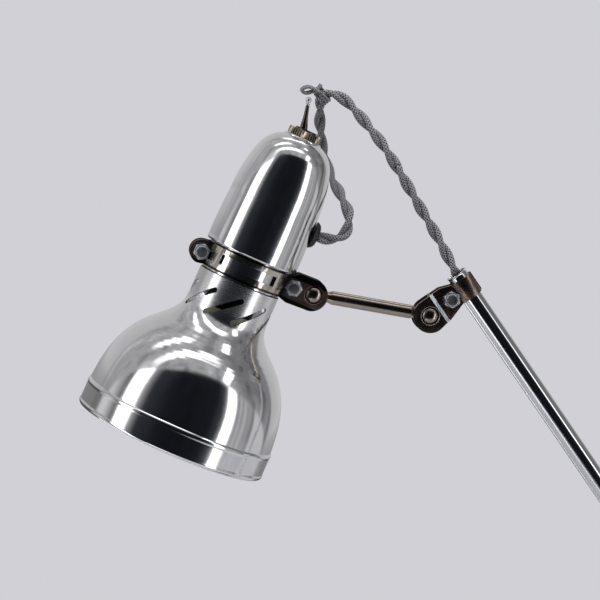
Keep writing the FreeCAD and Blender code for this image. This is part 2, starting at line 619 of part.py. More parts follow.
def cords():
    def near_wrist(x, y, z):
        return (WRIST[0] + x, y, WRIST[1] + z)

    grommet_x, grommet_z = along(HEAD, HEAD_LEAN, HOUSING_R + GROMMET_OUT, GROMMET_Z)
    cord_tube("head_flex_lower", [
        (grommet_x, 0, grommet_z), near_wrist(-54.4, 0.3, 41.1), near_wrist(-46.0, 1.5, 43.0),
        near_wrist(-42.4, 5, 52.6), near_wrist(-45.8, 13, 63.0), near_wrist(-51.0, 22, 72.5),
        near_wrist(-55.0, 24, 84.0), near_wrist(-57.5, 19.5, 95.0), near_wrist(-58.6, 14, 105.5),
        near_wrist(-59.0, 10.5, 112.0)], FLEX_R)
    cord_tube("head_flex_middle", [
        near_wrist(-59.0, 10.5, 112.0), near_wrist(-59.22, 8.575, 115.575),
        near_wrist(-56.2, 7.6, 119.8), near_wrist(-51.6, 7.2, 120.2), near_wrist(-45.0, 6.6, 116.4),
        near_wrist(-38.0, 5.4, 108.6), near_wrist(-31.2, 2.8, 100.1), near_wrist(-24.3, 0.6, 91.0),
        near_wrist(-18.1, 0, 80.55)], FLEX_R)
    cord_tube("head_flex_upper", [
        near_wrist(-18.1, 0, 80.55), near_wrist(-11.9, -0.6, 70.1), near_wrist(-5.2, -0.3, 58.4),
        near_wrist(1.8, 0, 46.9), near_wrist(8.2, 0, 35.4),
        (UPPER_END[0], 0, UPPER_END[1])], FLEX_R)
    cord_tube("tie_loop", [
        near_wrist(-60.6, 3.0, 122.6), near_wrist(-64.5, 2.6, 124.9),
        near_wrist(-69.0, 2.8, 125.2), near_wrist(-71.4, 3.2, 122.4),
        near_wrist(-69.2, 3.6, 119.6), near_wrist(-65.0, 4.0, 119.4),
        near_wrist(-62.6, 4.2, 118.6)], TIE_R)

    def near(pivot, x, y, z):
        return (pivot[0] + x, y, pivot[1] + z)

    hole = along(ELBOW, UPPER_LEAN, 7.8, SIDE_HOLE)
    leave = along(ELBOW, UPPER_LEAN, 24.0, SIDE_HOLE + 1.0)
    above_mouth = along(LOWER_END, LOWER_LEAN, 0, 19)
    cord_tube("elbow_flex", [
        (hole[0], 0, hole[1]), (leave[0], 0, leave[1]), near(ELBOW, 10.0, 0.5, 66.0),
        near(ELBOW, 30.0, 0.5, 58.0), near(ELBOW, 39.5, 0.3, 40.0),
        (above_mouth[0], 0, above_mouth[1]), (LOWER_END[0], 0, LOWER_END[1])], FLEX_R)
    hole = along(SHOULDER, LOWER_LEAN, -7.8, SIDE_HOLE)
    leave = along(SHOULDER, LOWER_LEAN, -22.0, SIDE_HOLE)
    cord_tube("shoulder_flex", [
        (hole[0], 0, hole[1]), (leave[0], 0, leave[1]), near(SHOULDER, -12.0, 0.4, 67.5),
        near(SHOULDER, -25.5, 0.4, 57.0), near(SHOULDER, -29.5, 0.2, 41.0),
        near(SHOULDER, -24.9, 0, 25.5), (0, 0, POST_TOP)], FLEX_R)

    coil_x, coil_y = COIL_CENTRE
    ring_half = COIL_TURNS_WIDE * FLEX_R
    outer = COIL_R + ring_half
    coil = pipe(outer, COIL_R - ring_half, 0, 2 * COIL_TURNS_HIGH * FLEX_R)
    coil.translate(V(coil_x, coil_y, 0))
    save("mains_coil", coil)
    floor = FLEX_R + 0.05
    cord_tube("mains_lead", [
        (0, BASE_R + 24, 10), (0.5, BASE_R + 32, 8.4), (4.2, BASE_R + 41, 5.0),
        (10.2, BASE_R + 50.3, floor), (16.8, BASE_R + 60, floor), (20.6, BASE_R + 71, floor)],
        FLEX_R)
    plug_x, plug_y = coil_x - outer - 39.0, coil_y - 52.6
    cord_tube("mains_tail", [
        (coil_x - 49.0, coil_y - 21.5, 9.8), (coil_x - 49.6, coil_y - 31.5, 7.6),
        (coil_x - 54.0, coil_y - 41.0, 4.4), (coil_x - 62.5, coil_y - 48.2, floor),
        (coil_x - 73.5, coil_y - 52.2, 5.6), (plug_x + 6, plug_y, 9.2), (plug_x, plug_y, 9.8)],
        FLEX_R)
    shell = Part.makeBox(48, 46, 20, V(plug_x - 48, plug_y - 23, 0))
    shell = rounded(shell, 8.0, lambda e: e.BoundBox.ZLength > 19)
    shell = rounded(shell, 2.5, lambda e: e.BoundBox.ZMax < 0.01 or e.BoundBox.ZMin > 19.9)
    save("plug_body", shell)
    pins = []
    for x, y, wide, long, height in ((-38, 0, 4.0, 8.0, 22.7), (-15.8, -11.1, 6.4, 4.0, 17.7),
                                     (-15.8, 11.1, 6.4, 4.0, 17.7)):
        pin = Part.makeBox(wide, long, height, V(plug_x + x - wide / 2, plug_y + y - long / 2, 20))
        pins.append(rounded(pin, 0.8, lambda e: e.BoundBox.ZMin > 20 + height - 0.01))
    save("plug_pins", *pins)


os.makedirs("parts", exist_ok=True)
base()
post()
arms()
link()
head()
cords()
for label, place in (("shoulder", SHOULDER), ("elbow", ELBOW), ("wrist", WRIST),
                     ("head pivot", HEAD_PIVOT), ("head", HEAD), ("toggle pivot", TOGGLE_PIVOT),
                     ("upper end", UPPER_END), ("lower end", LOWER_END)):
    print(f"{label}: x {place[0]:.2f}, z {place[1]:.2f}")
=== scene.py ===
import math
import json

import bmesh
import bpy
import numpy as np
from mathutils import Matrix, Vector

# A machinist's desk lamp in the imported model's frame: metres, +Z up, origin at the centre of
# the base's underside.  The arms move in the XZ plane and the head is toward -X.
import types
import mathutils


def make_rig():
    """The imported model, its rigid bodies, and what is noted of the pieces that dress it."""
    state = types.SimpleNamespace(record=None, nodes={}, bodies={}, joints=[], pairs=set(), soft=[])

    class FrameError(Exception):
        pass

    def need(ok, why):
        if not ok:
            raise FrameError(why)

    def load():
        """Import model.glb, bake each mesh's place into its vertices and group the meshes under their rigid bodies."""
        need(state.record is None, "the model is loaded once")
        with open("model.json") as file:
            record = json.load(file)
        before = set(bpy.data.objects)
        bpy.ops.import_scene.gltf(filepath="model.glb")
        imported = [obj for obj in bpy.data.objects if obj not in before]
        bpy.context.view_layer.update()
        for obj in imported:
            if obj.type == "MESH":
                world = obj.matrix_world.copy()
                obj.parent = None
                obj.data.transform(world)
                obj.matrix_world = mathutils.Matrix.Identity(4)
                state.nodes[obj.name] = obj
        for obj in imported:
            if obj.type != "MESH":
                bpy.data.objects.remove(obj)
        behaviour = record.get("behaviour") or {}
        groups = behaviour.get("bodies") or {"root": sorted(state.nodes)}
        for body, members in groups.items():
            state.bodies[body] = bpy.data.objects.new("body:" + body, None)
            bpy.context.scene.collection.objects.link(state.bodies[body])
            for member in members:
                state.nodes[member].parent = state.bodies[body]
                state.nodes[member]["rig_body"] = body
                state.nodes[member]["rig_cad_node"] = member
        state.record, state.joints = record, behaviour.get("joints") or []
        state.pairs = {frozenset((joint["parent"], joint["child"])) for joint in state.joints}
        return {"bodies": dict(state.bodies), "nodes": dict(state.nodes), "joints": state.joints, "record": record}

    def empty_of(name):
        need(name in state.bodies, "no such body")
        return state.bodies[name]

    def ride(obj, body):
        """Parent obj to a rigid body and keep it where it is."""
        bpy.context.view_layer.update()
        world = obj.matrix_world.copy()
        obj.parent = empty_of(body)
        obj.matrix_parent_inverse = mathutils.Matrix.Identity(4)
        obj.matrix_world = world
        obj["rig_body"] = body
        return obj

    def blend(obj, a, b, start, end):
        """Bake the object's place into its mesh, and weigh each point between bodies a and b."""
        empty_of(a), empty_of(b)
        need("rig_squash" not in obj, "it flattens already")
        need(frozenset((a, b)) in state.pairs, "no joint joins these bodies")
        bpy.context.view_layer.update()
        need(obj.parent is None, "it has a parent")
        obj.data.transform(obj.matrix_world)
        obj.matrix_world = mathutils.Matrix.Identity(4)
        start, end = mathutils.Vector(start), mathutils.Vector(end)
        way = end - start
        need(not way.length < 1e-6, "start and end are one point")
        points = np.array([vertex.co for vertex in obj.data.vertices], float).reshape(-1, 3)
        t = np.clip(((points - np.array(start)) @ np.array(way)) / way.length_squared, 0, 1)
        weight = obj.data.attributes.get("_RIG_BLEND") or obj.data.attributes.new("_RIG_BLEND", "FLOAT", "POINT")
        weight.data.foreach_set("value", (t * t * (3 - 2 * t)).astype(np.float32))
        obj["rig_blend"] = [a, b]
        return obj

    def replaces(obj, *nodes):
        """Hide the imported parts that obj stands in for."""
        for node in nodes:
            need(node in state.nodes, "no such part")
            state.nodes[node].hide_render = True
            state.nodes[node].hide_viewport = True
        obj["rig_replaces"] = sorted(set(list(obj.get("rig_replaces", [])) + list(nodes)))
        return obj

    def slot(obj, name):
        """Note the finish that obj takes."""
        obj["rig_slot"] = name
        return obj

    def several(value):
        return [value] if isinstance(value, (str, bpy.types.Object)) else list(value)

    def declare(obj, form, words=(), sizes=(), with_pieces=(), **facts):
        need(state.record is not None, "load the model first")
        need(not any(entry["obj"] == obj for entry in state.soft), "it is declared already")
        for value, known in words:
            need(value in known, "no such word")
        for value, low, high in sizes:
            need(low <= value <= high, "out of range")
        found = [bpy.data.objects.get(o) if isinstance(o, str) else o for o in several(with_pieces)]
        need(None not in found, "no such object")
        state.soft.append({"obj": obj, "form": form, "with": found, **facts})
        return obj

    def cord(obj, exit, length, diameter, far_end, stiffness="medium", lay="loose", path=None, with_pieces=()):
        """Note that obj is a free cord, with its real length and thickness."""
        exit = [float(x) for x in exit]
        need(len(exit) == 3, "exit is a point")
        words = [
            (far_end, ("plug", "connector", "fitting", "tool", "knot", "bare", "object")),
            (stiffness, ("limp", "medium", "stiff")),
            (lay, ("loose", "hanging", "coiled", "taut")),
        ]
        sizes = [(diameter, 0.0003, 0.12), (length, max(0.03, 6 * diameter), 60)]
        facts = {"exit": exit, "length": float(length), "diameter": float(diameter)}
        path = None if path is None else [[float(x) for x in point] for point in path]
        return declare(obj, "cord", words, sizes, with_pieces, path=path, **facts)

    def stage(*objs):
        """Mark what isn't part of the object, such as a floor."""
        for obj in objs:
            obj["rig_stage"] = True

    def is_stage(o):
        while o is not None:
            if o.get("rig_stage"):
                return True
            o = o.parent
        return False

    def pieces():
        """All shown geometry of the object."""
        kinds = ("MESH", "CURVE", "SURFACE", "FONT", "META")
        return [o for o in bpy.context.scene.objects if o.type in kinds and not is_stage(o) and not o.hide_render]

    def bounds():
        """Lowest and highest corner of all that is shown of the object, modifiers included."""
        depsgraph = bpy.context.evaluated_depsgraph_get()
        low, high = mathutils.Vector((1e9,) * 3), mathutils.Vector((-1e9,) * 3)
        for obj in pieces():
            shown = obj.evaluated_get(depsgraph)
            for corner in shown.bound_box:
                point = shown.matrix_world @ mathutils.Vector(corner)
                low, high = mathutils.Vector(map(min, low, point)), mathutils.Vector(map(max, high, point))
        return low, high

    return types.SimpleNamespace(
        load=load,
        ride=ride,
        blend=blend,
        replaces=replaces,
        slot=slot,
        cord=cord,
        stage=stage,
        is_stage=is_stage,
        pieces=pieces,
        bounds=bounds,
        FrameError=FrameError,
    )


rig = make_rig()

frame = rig.load()
cad_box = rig.bounds()
MM = 0.001

# ---- Places and sizes ---------------------------------------------------------------

JOINT = {j["name"]: Vector(j["pos_m"]) for j in frame["joints"]}
SHOULDER, ELBOW = JOINT["shoulder"], JOINT["elbow"]
WRIST, HEAD_PIVOT, TOGGLE = JOINT["link_swing"], JOINT["head_tilt"], JOINT["switch_toggle"]

LOWER_LEAN, UPPER_LEAN, HEAD_LEAN, TOGGLE_LEAN = 25.0, -34.5, 24.0, 10.2
LINK_RISE = 10.6                    # degrees above the level, toward the head
LINK_LENGTH = 64.5                  # between the centres of its two balls
REACH, DROP = 24.8, 10.3            # ball or eye centre to the clamped tube's open end
HEAD_BALL = (39.3, 1.8)             # head ball in the head's frame
TUBE_R, TUBE_BORE = 5.55, 4.55      # radii
TUBE_LENGTH = 285.5
BALL_R, ROD_R = 6.35, 3.75
NECK_R, RIM_R, RIM_Z = 22.8, 53.5, -101.4
HOUSING_R, HOUSING_TOP = 25.9, 76.7
GROMMET_Z, GROMMET_OUT = 31.3, 2.9  # the head grommet's height and stand-off from the housing
SLOTS, SLOT_START = 9, -12.5        # vent slots round the neck, and the first one's angle
SLOT_Z, SLOT_SLANT = -21.8, 51.5
SLOT_HALF, SLOT_END_R = 9.9, 1.45
WALL = 1.0                          # the head's sheet metal
FLEX_R = 3.5
CORE_R = 1.6                        # one braided core of the twisted flex
TWIST_PITCH = 29.0                  # a full turn of the two cores
FLEX_BORE = FLEX_R + 0.05           # hole in a grommet
FLOOR_LINE = FLEX_R + 0.05          # the lead's centre when it lies on the floor
BASE_R, BASE_TOP, BOSS_TOP = 85.0, 34.0, 40.0
COIL_CENTRE, COIL_R = (-32.0, 174.0), 42.0
FLOOR_R = 1.1                       # metres, as are the camera's two lengths
CAMERA_TURN, CAMERA_RISE = -5.0, 6.4
CAMERA_AIM = (-70.5, 0, 8.9)        # from the wrist
CAMERA_DISTANCE, VIEW_WIDTH = 1.3, 0.3246
SENSOR_WIDTH = 36
BACKGROUND = (0.636, 0.630, 0.672)
ALUMINIUM, CHROME = (0.86, 0.865, 0.88), (0.72, 0.73, 0.75)


def leaning(origin, lean):
    """The frame at a point of the arm plane whose own z leans toward +X."""
    return Matrix.Translation(origin) @ Matrix.Rotation(math.radians(lean), 4, "Y")


def at(place, x, z, y=0.0):
    """A point of a frame, given in millimetres, in the row frame."""
    return place @ Vector((x * MM, y * MM, z * MM))


def shifted(known, lean, x, z):
    """The leaning frame whose origin lies at (x, z) as measured from a known point."""
    return leaning(at(leaning(known, lean), x, z), lean)


HEAD = shifted(HEAD_PIVOT, HEAD_LEAN, -HEAD_BALL[0], -HEAD_BALL[1])
LOWER = shifted(ELBOW, LOWER_LEAN, REACH, DROP)
UPPER = shifted(WRIST, UPPER_LEAN, REACH, DROP)
LINK = leaning(WRIST, LINK_RISE - 90)
LEVER = leaning(TOGGLE, TOGGLE_LEAN)
WORLD = Matrix.Identity(4)
LOWER_END, UPPER_END = LOWER.to_translation(), UPPER.to_translation()
POST_TOP = Vector((0, 0, SHOULDER.z + DROP * MM))
POST = Matrix.Translation(POST_TOP)


# ---- Camera -------------------------------------------------------------------------

def add_camera():
    """A long lens on the head and the wrist."""
    azimuth, elevation = math.radians(CAMERA_TURN), math.radians(CAMERA_RISE)
    target = WRIST + Vector(CAMERA_AIM) * MM
    back = Vector((math.sin(azimuth) * math.cos(elevation),
                   -math.cos(azimuth) * math.cos(elevation), math.sin(elevation)))
    data = bpy.data.cameras.new("camera")
    data.lens = SENSOR_WIDTH * CAMERA_DISTANCE / VIEW_WIDTH
    camera = bpy.data.objects.new("camera", data)
    camera.location = target + back * CAMERA_DISTANCE
    camera.rotation_euler = (-back).to_track_quat("-Z", "Y").to_euler()
    bpy.context.scene.collection.objects.link(camera)
    bpy.context.scene.camera = camera


# ---- Materials ----------------------------------------------------------------------

class Nodes:
    """A node tree being made, and short ways to add to it."""

    def __init__(self, tree):
        self.tree = tree

    def add(self, kind, inputs=None, **settings):
        node = self.tree.nodes.new(kind)
        for key, value in settings.items():
            setattr(node, key, value)
        for key, value in (inputs or {}).items():
            if isinstance(value, bpy.types.NodeSocket):
                self.tree.links.new(value, node.inputs[key])
            else:
                node.inputs[key].default_value = value
        return node

    def ramp(self, factor, *stops):
        """Colours or grey levels along a factor, as (place, value) pairs."""
        node = self.add("ShaderNodeValToRGB", {"Fac": factor})
        elements = node.color_ramp.elements
        while len(elements) < len(stops):
            elements.new(0.5)
        for element, (place, value) in zip(elements, stops):
            element.position = place
            rgb = value if isinstance(value, tuple) else (value,) * 3
            element.color = (*rgb, 1)
        return node.outputs[0]

    def maths(self, operation, a, b=0.0, c=0.0):
        return self.add("ShaderNodeMath", {0: a, 1: b, 2: c}, operation=operation).outputs[0]

    def mix(self, factor, a, b):
        return self.add("ShaderNodeMix", {0: factor, 2: a, 3: b}).outputs[0]

    def mix_colours(self, factor, a, b):
        return self.add("ShaderNodeMix", {0: factor, 6: a, 7: b}, data_type="RGBA").outputs[2]

    def parts(self, vector):
        return self.add("ShaderNodeSeparateXYZ", {"Vector": vector}).outputs

    def off_axis(self, x, y):
        """The distance from the z axis."""
        squares = self.maths("ADD", self.maths("MULTIPLY", x, x), self.maths("MULTIPLY", y, y))
        return self.maths("POWER", squares, 0.5)


class Surface(Nodes):
    """A material being made, with its shader."""

    def __init__(self, name, colour, roughness, metallic=0.0, **sockets):
        self.material = bpy.data.materials.new(name)
        self.material.use_nodes = True
        super().__init__(self.material.node_tree)
        self.shader = self.tree.nodes["Principled BSDF"]
        self.shader.inputs["Base Color"].default_value = (*colour, 1)
        self.shader.inputs["Roughness"].default_value = roughness
        self.shader.inputs["Metallic"].default_value = metallic
        for socket, value in sockets.items():
            self.shader.inputs[socket.replace("_", " ")].default_value = value
        self.coords = self.add("ShaderNodeTexCoord").outputs["Object"]

    def link(self, output, socket):
        self.tree.links.new(output, self.shader.inputs[socket])

    def place(self, matrix):
        """Object coordinates in another frame, in millimetres."""
        inverse = matrix.inverted()
        moved = self.add("ShaderNodeMapping", {
            "Vector": self.coords, "Location": inverse.to_translation() / MM,
            "Rotation": inverse.to_euler(), "Scale": (1 / MM,) * 3})
        return moved.outputs[0]

    def noise(self, vector, scale, detail=3.0, roughness=0.55):
        return self.add("ShaderNodeTexNoise", {
            "Vector": vector, "Scale": scale, "Detail": detail, "Roughness": roughness}).outputs[0]

    def bump(self, height, distance):
        node = self.add("ShaderNodeBump", {
            "Height": height, "Strength": 1.0, "Distance": distance * MM})
        self.link(node.outputs[0], "Normal")


def spun_metal(name, colour, roughness, axis_frame, marks, chatter=None, dull_above=None):
    """Metal polished on a lathe: fine rings about the axis and a soft drift in its gloss.

    chatter is the (low, high) stretch along the axis where the spinning tool left a ripple;
    above dull_above the metal is less polished.
    """
    surface = Surface(name, colour, roughness, 1.0)
    local = surface.place(axis_frame)
    x, y, z = surface.parts(local)
    radius = surface.off_axis(x, y)
    along = surface.add("ShaderNodeCombineXYZ", {"X": radius, "Z": z}).outputs[0]
    rings = surface.noise(along, 1.6, 4.0, 0.7)
    drift = surface.noise(local, 0.05, 3.0)
    gloss = surface.mix(0.45, surface.ramp(rings, (0.3, 0.0), (0.75, 1.0)),
                        surface.ramp(drift, (0.35, 0.0), (0.7, 1.0)))
    rough = surface.ramp(gloss, (0.0, roughness * 0.7), (1.0, roughness * 1.6))
    if dull_above is not None:
        height = surface.maths("MULTIPLY_ADD", z, 0.125, 0.5 - 0.125 * dull_above)
        rough = surface.mix(surface.ramp(height, (0.0, 0.0), (1.0, 1.0)), rough,
                            surface.maths("ADD", rough, 0.17))
    surface.link(rough, "Roughness")
    surface.link(surface.ramp(drift, (0.3, tuple(c * 0.93 for c in colour)), (0.7, colour)),
                 "Base Color")
    if chatter:
        turn = surface.maths("MULTIPLY", surface.maths("ARCTAN2", y, x), 34.0)
        across = surface.add("ShaderNodeCombineXYZ",
                             {"X": turn, "Y": surface.maths("MULTIPLY", z, 0.5)}).outputs[0]
        ripple = surface.noise(across, 1.1, 1.0)
        low, high = chatter
        span = surface.maths("DIVIDE", surface.maths("SUBTRACT", z, low), high - low)
        reach = surface.ramp(span, (0.0, 0.0), (0.3, 1.0), (0.7, 1.0), (1.0, 0.0))
        rings = surface.maths("ADD", surface.maths("MULTIPLY", rings, 0.35),
                              surface.maths("MULTIPLY", ripple, reach))
        waves = surface.maths("SINE", surface.maths("MULTIPLY", z, 2.3))
        rings = surface.maths("MULTIPLY_ADD", surface.maths("MULTIPLY", waves, reach), 0.8, rings)
    surface.bump(rings, marks)
    return surface.material


def holder_metal(name):
    """The lampholder: a dull brass shell below, black moulding above."""
    surface = Surface(name, (0.6, 0.57, 0.47), 0.42, 0.7)
    local = surface.place(HEAD)
    _, _, z = surface.parts(local)
    patches = surface.noise(local, 0.2, 4.0)
    brass = surface.ramp(patches, (0.3, (0.50, 0.47, 0.37)), (0.7, (0.68, 0.65, 0.54)))
    split = surface.ramp(surface.maths("MULTIPLY_ADD", z, 0.02, 1.0), (0.505, 0.0), (0.515, 1.0))
    surface.link(surface.mix_colours(split, brass, (0.012, 0.011, 0.010, 1)), "Base Color")
    surface.bump(surface.noise(local, 1.3, 4.0, 0.7), 0.02)
    return surface.material


def plated_metal(name, colour, shade, roughness, grain=0.02):
    """Pressed and plated metal: a faint grain and duller, darker patches."""
    surface = Surface(name, colour, roughness, 1.0)
    local = surface.place(WORLD)
    patches = surface.noise(local, 0.18, 4.0)
    grain_height = surface.noise(local, 1.3, 5.0, 0.7)
    surface.link(surface.ramp(patches, (0.32, shade), (0.62, colour)), "Base Color")
    surface.link(surface.ramp(patches, (0.3, roughness * 1.5), (0.7, roughness * 0.8)), "Roughness")
    surface.bump(grain_height, grain)
    return surface.material


def band_metal(name):
    """Bright nickel on the band, worn to brown on the plates either side, with painted shade on its edges."""
    surface = Surface(name, (0.6, 0.57, 0.51), 0.13, 1.0)
    local = surface.place(HEAD)
    x, _, z = surface.parts(local)
    out = surface.maths("DIVIDE", surface.maths("ABSOLUTE", x), 40.0)
    patches = surface.noise(local, 0.16, 4.0)
    flat = surface.ramp(surface.maths("MULTIPLY_ADD", patches, 0.1, out), (0.57, 0.0), (0.70, 1.0))
    colour = surface.ramp(patches, (0.3, (0.50, 0.46, 0.40)), (0.65, (0.66, 0.63, 0.57)))
    brown = surface.ramp(patches, (0.3, (0.26, 0.185, 0.15)), (0.7, (0.40, 0.30, 0.25)))
    mixed = surface.mix_colours(flat, colour, brown)
    # Near the top and bottom edges the colour goes near black: painted shade for the dark gaps at the housing and the
    # shade.
    off_middle = surface.maths("ABSOLUTE", surface.maths("SUBTRACT", z, 0.45))
    edge = surface.ramp(surface.maths("DIVIDE", off_middle, 6.75), (0.80, 0.0), (0.88, 1.0))
    surface.link(surface.mix_colours(edge, mixed, (0.035, 0.028, 0.025, 1)), "Base Color")
    surface.link(surface.ramp(flat, (0.0, 0.13), (1.0, 0.34)), "Roughness")
    surface.bump(surface.noise(local, 1.3, 4.0, 0.7), 0.012)
    return surface.material


def moulded(name, colour, roughness, grain=0.02):
    """Moulded, painted or cast stuff: slightly lighter patches and a fine grain."""
    surface = Surface(name, colour, roughness)
    local = surface.place(WORLD)
    fine = surface.noise(local, 2.2, 4.0)
    patches = surface.noise(local, 0.1, 3.0)
    light = tuple(min(1.0, c * 1.35 + 0.004) for c in colour)
    surface.link(surface.ramp(patches, (0.35, colour), (0.7, light)), "Base Color")
    surface.link(surface.ramp(fine, (0.3, roughness * 0.85), (0.7, roughness * 1.15)), "Roughness")
    surface.bump(fine, grain)
    return surface.material


def braid(name):
    """Braided cover of a core: crossing carriers of yarn, from the mesh's own coordinates."""
    surface = Surface(name, (0.17, 0.165, 0.18), 0.75, Sheen_Weight=0.25, Sheen_Roughness=0.5)
    uv = surface.add("ShaderNodeUVMap", uv_map="along").outputs[0]
    u, v, _ = surface.parts(uv)
    ends = []
    for sign in (1, -1):
        phase = surface.maths("ADD", surface.maths("MULTIPLY", u, math.tau * 0.62),
                              surface.maths("MULTIPLY", v, sign * math.tau * 5))
        ends.append(surface.maths("SINE", phase))
    over = surface.maths("MAXIMUM", *ends)
    height = surface.maths("ADD", surface.maths("MULTIPLY", over, 0.5), 0.5)
    fuzz = surface.noise(surface.place(WORLD), 2.5, 4.0, 0.7)
    mixed = surface.maths("ADD", surface.maths("MULTIPLY", height, 0.7),
                          surface.maths("MULTIPLY", fuzz, 0.35))
    # The colour follows the carriers' height: painted shade in the hollows between them and lighter raised tops, with
    # the fuzz's own tone mixed in.
    surface.link(surface.ramp(mixed, (0.30, (0.035, 0.033, 0.04)), (0.60, (0.16, 0.155, 0.175)),
                              (0.90, (0.42, 0.41, 0.44))), "Base Color")
    surface.bump(height, 0.35)
    return surface.material


def frosted_glass(name):
    surface = Surface(name, (0.92, 0.92, 0.90), 0.35, Transmission_Weight=0.55, IOR=1.45)
    local = surface.place(HEAD)
    surface.bump(surface.noise(local, 1.5, 3.0), 0.01)
    surface.link(surface.ramp(surface.noise(local, 0.3, 2.0), (0.3, 0.30), (0.7, 0.42)),
                 "Roughness")
    return surface.material


# ---- Mesh making --------------------------------------------------------------------

def linked(name, mesh, material, body):
    piece = bpy.data.objects.new(name, mesh)
    bpy.context.scene.collection.objects.link(piece)
    mesh.materials.append(material)
    if body:
        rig.ride(piece, body)
    return piece


def smoothed(mesh, angle=30.0):
    mesh.shade_smooth()
    mesh.set_sharp_from_angle(angle=math.radians(angle))


def arc_points(start, middle, end, steps):
    """Points after `start` along the arc through three points of a plane."""
    (ax, ay), (bx, by), (cx, cy) = start, middle, end
    d = 2 * (ax * (by - cy) + bx * (cy - ay) + cx * (ay - by))
    a2, b2, c2 = ax * ax + ay * ay, bx * bx + by * by, cx * cx + cy * cy
    ox = (a2 * (by - cy) + b2 * (cy - ay) + c2 * (ay - by)) / d
    oy = (a2 * (cx - bx) + b2 * (ax - cx) + c2 * (bx - ax)) / d
    first, mid, last = (math.atan2(y - oy, x - ox) for x, y in (start, middle, end))
    turn = (last - first) % math.tau
    if (mid - first) % math.tau > turn:
        turn -= math.tau
    radius = math.hypot(ax - ox, ay - oy)
    return [(ox + radius * math.cos(first + turn * i / steps),
             oy + radius * math.sin(first + turn * i / steps)) for i in range(1, steps + 1)]


def curve_points(points, steps):
    """Points after the first along a natural cubic spline through the points."""
    points = np.array(points, float)
    chord = np.r_[0, np.cumsum(np.linalg.norm(np.diff(points, axis=0), axis=1))]
    count, gap = len(points), np.diff(chord)
    system, target = np.eye(count), np.zeros((count, 2))
    for i in range(1, count - 1):
        system[i, i - 1:i + 2] = gap[i - 1], 2 * (gap[i - 1] + gap[i]), gap[i]
        target[i] = 6 * ((points[i + 1] - points[i]) / gap[i]
                         - (points[i] - points[i - 1]) / gap[i - 1])
    bend = np.linalg.solve(system, target)
    made = []
    for i in range(count - 1):
        for step in range(1, steps + 1):
            t = gap[i] * step / steps
            slope = (points[i + 1] - points[i]) / gap[i] - gap[i] * (2 * bend[i] + bend[i + 1]) / 6
            made.append(tuple(points[i] + slope * t + bend[i] * t * t / 2
                              + (bend[i + 1] - bend[i]) * t ** 3 / (6 * gap[i])))
    return made


def profile(outline, steps=8):
    """(radius, z) points of an outline: straight entries, 4-number arcs, lists for curves."""
    points = [outline[0]]
    for entry in outline[1:]:
        if isinstance(entry, list):
            points += curve_points([points[-1], *entry], steps)
        elif len(entry) == 4:
            points += arc_points(points[-1], entry[:2], entry[2:], steps)
        else:
            points.append(tuple(entry))
    return points


def supported(points):
    """Adds points near both ends of each long straight run, so shading stays flat along it."""
    made = []
    for here, after in zip(points, points[1:] + points[:1]):
        made.append(here)
        run = math.dist(here, after)
        if run > 3.0:
            for share in (0.3 / run, 1 - 0.3 / run):
                made.append(tuple(a + (b - a) * share for a, b in zip(here, after)))
    return made


def lathe_mesh(name, points, place, segments):
    """A ring of quads about a frame's z for each step of the closed outline."""
    bm = bmesh.new()
    rows = []
    for radius, z in points:
        if radius < 1e-6:
            rows.append([bm.verts.new(at(place, 0, z))] * segments)
            continue
        ring = []
        for i in range(segments):
            angle = math.tau * i / segments
            ring.append(bm.verts.new(at(place, radius * math.cos(angle), z,
                                        radius * math.sin(angle))))
        rows.append(ring)
    for low, high in zip(rows, rows[1:] + rows[:1]):
        for i in range(segments):
            j = (i + 1) % segments
            corners = list(dict.fromkeys((low[i], low[j], high[j], high[i])))
            if len(corners) > 2:
                bm.faces.new(corners)
    bmesh.ops.recalc_face_normals(bm, faces=bm.faces)
    mesh = bpy.data.meshes.new(name)
    bm.to_mesh(mesh)
    bm.free()
    return mesh


def turned(name, outline, place, material, body, node, segments, steps=8):
    """A turned piece standing for a CAD node."""
    mesh = lathe_mesh(name, supported(profile(outline, steps)), place, segments)
    smoothed(mesh, 32.0)
    piece = linked(name, mesh, material, body)
    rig.replaces(piece, node)
    return piece


def cut_with(piece, cutters):
    """Cuts closed meshes out of a piece."""
    for cutter in cutters:
        modifier = piece.modifiers.new("cut", "BOOLEAN")
        modifier.operation, modifier.solver, modifier.object = "DIFFERENCE", "EXACT", cutter
    bpy.context.view_layer.update()
    made = bpy.data.meshes.new_from_object(
        piece.evaluated_get(bpy.context.evaluated_depsgraph_get()))
    piece.modifiers.clear()
    piece.data = made
    for cutter in cutters:
        bpy.data.objects.remove(cutter)


def bevelled(node, material, width):
    """A CAD piece with its edges broken, standing for the node."""
    source = frame["nodes"][node]
    bm = bmesh.new()
    bm.from_mesh(source.data)
    bmesh.ops.remove_doubles(bm, verts=bm.verts, dist=1e-6)
    bmesh.ops.dissolve_limit(bm, angle_limit=math.radians(0.5), verts=bm.verts, edges=bm.edges)
    mesh = bpy.data.meshes.new(node + "_finished")
    bm.to_mesh(mesh)
    bm.free()
    for polygon in mesh.polygons:
        polygon.material_index = 0
    piece = linked(node + "_finished", mesh, material, source["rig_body"])
    edge = piece.modifiers.new("edge", "BEVEL")
    edge.width, edge.segments = width * MM, 3
    edge.limit_method, edge.angle_limit = "ANGLE", math.radians(28.0)
    edge.harden_normals = True
    mesh.shade_smooth()
    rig.replaces(piece, node)
    return piece


# ---- The cords' lines ---------------------------------------------------------------

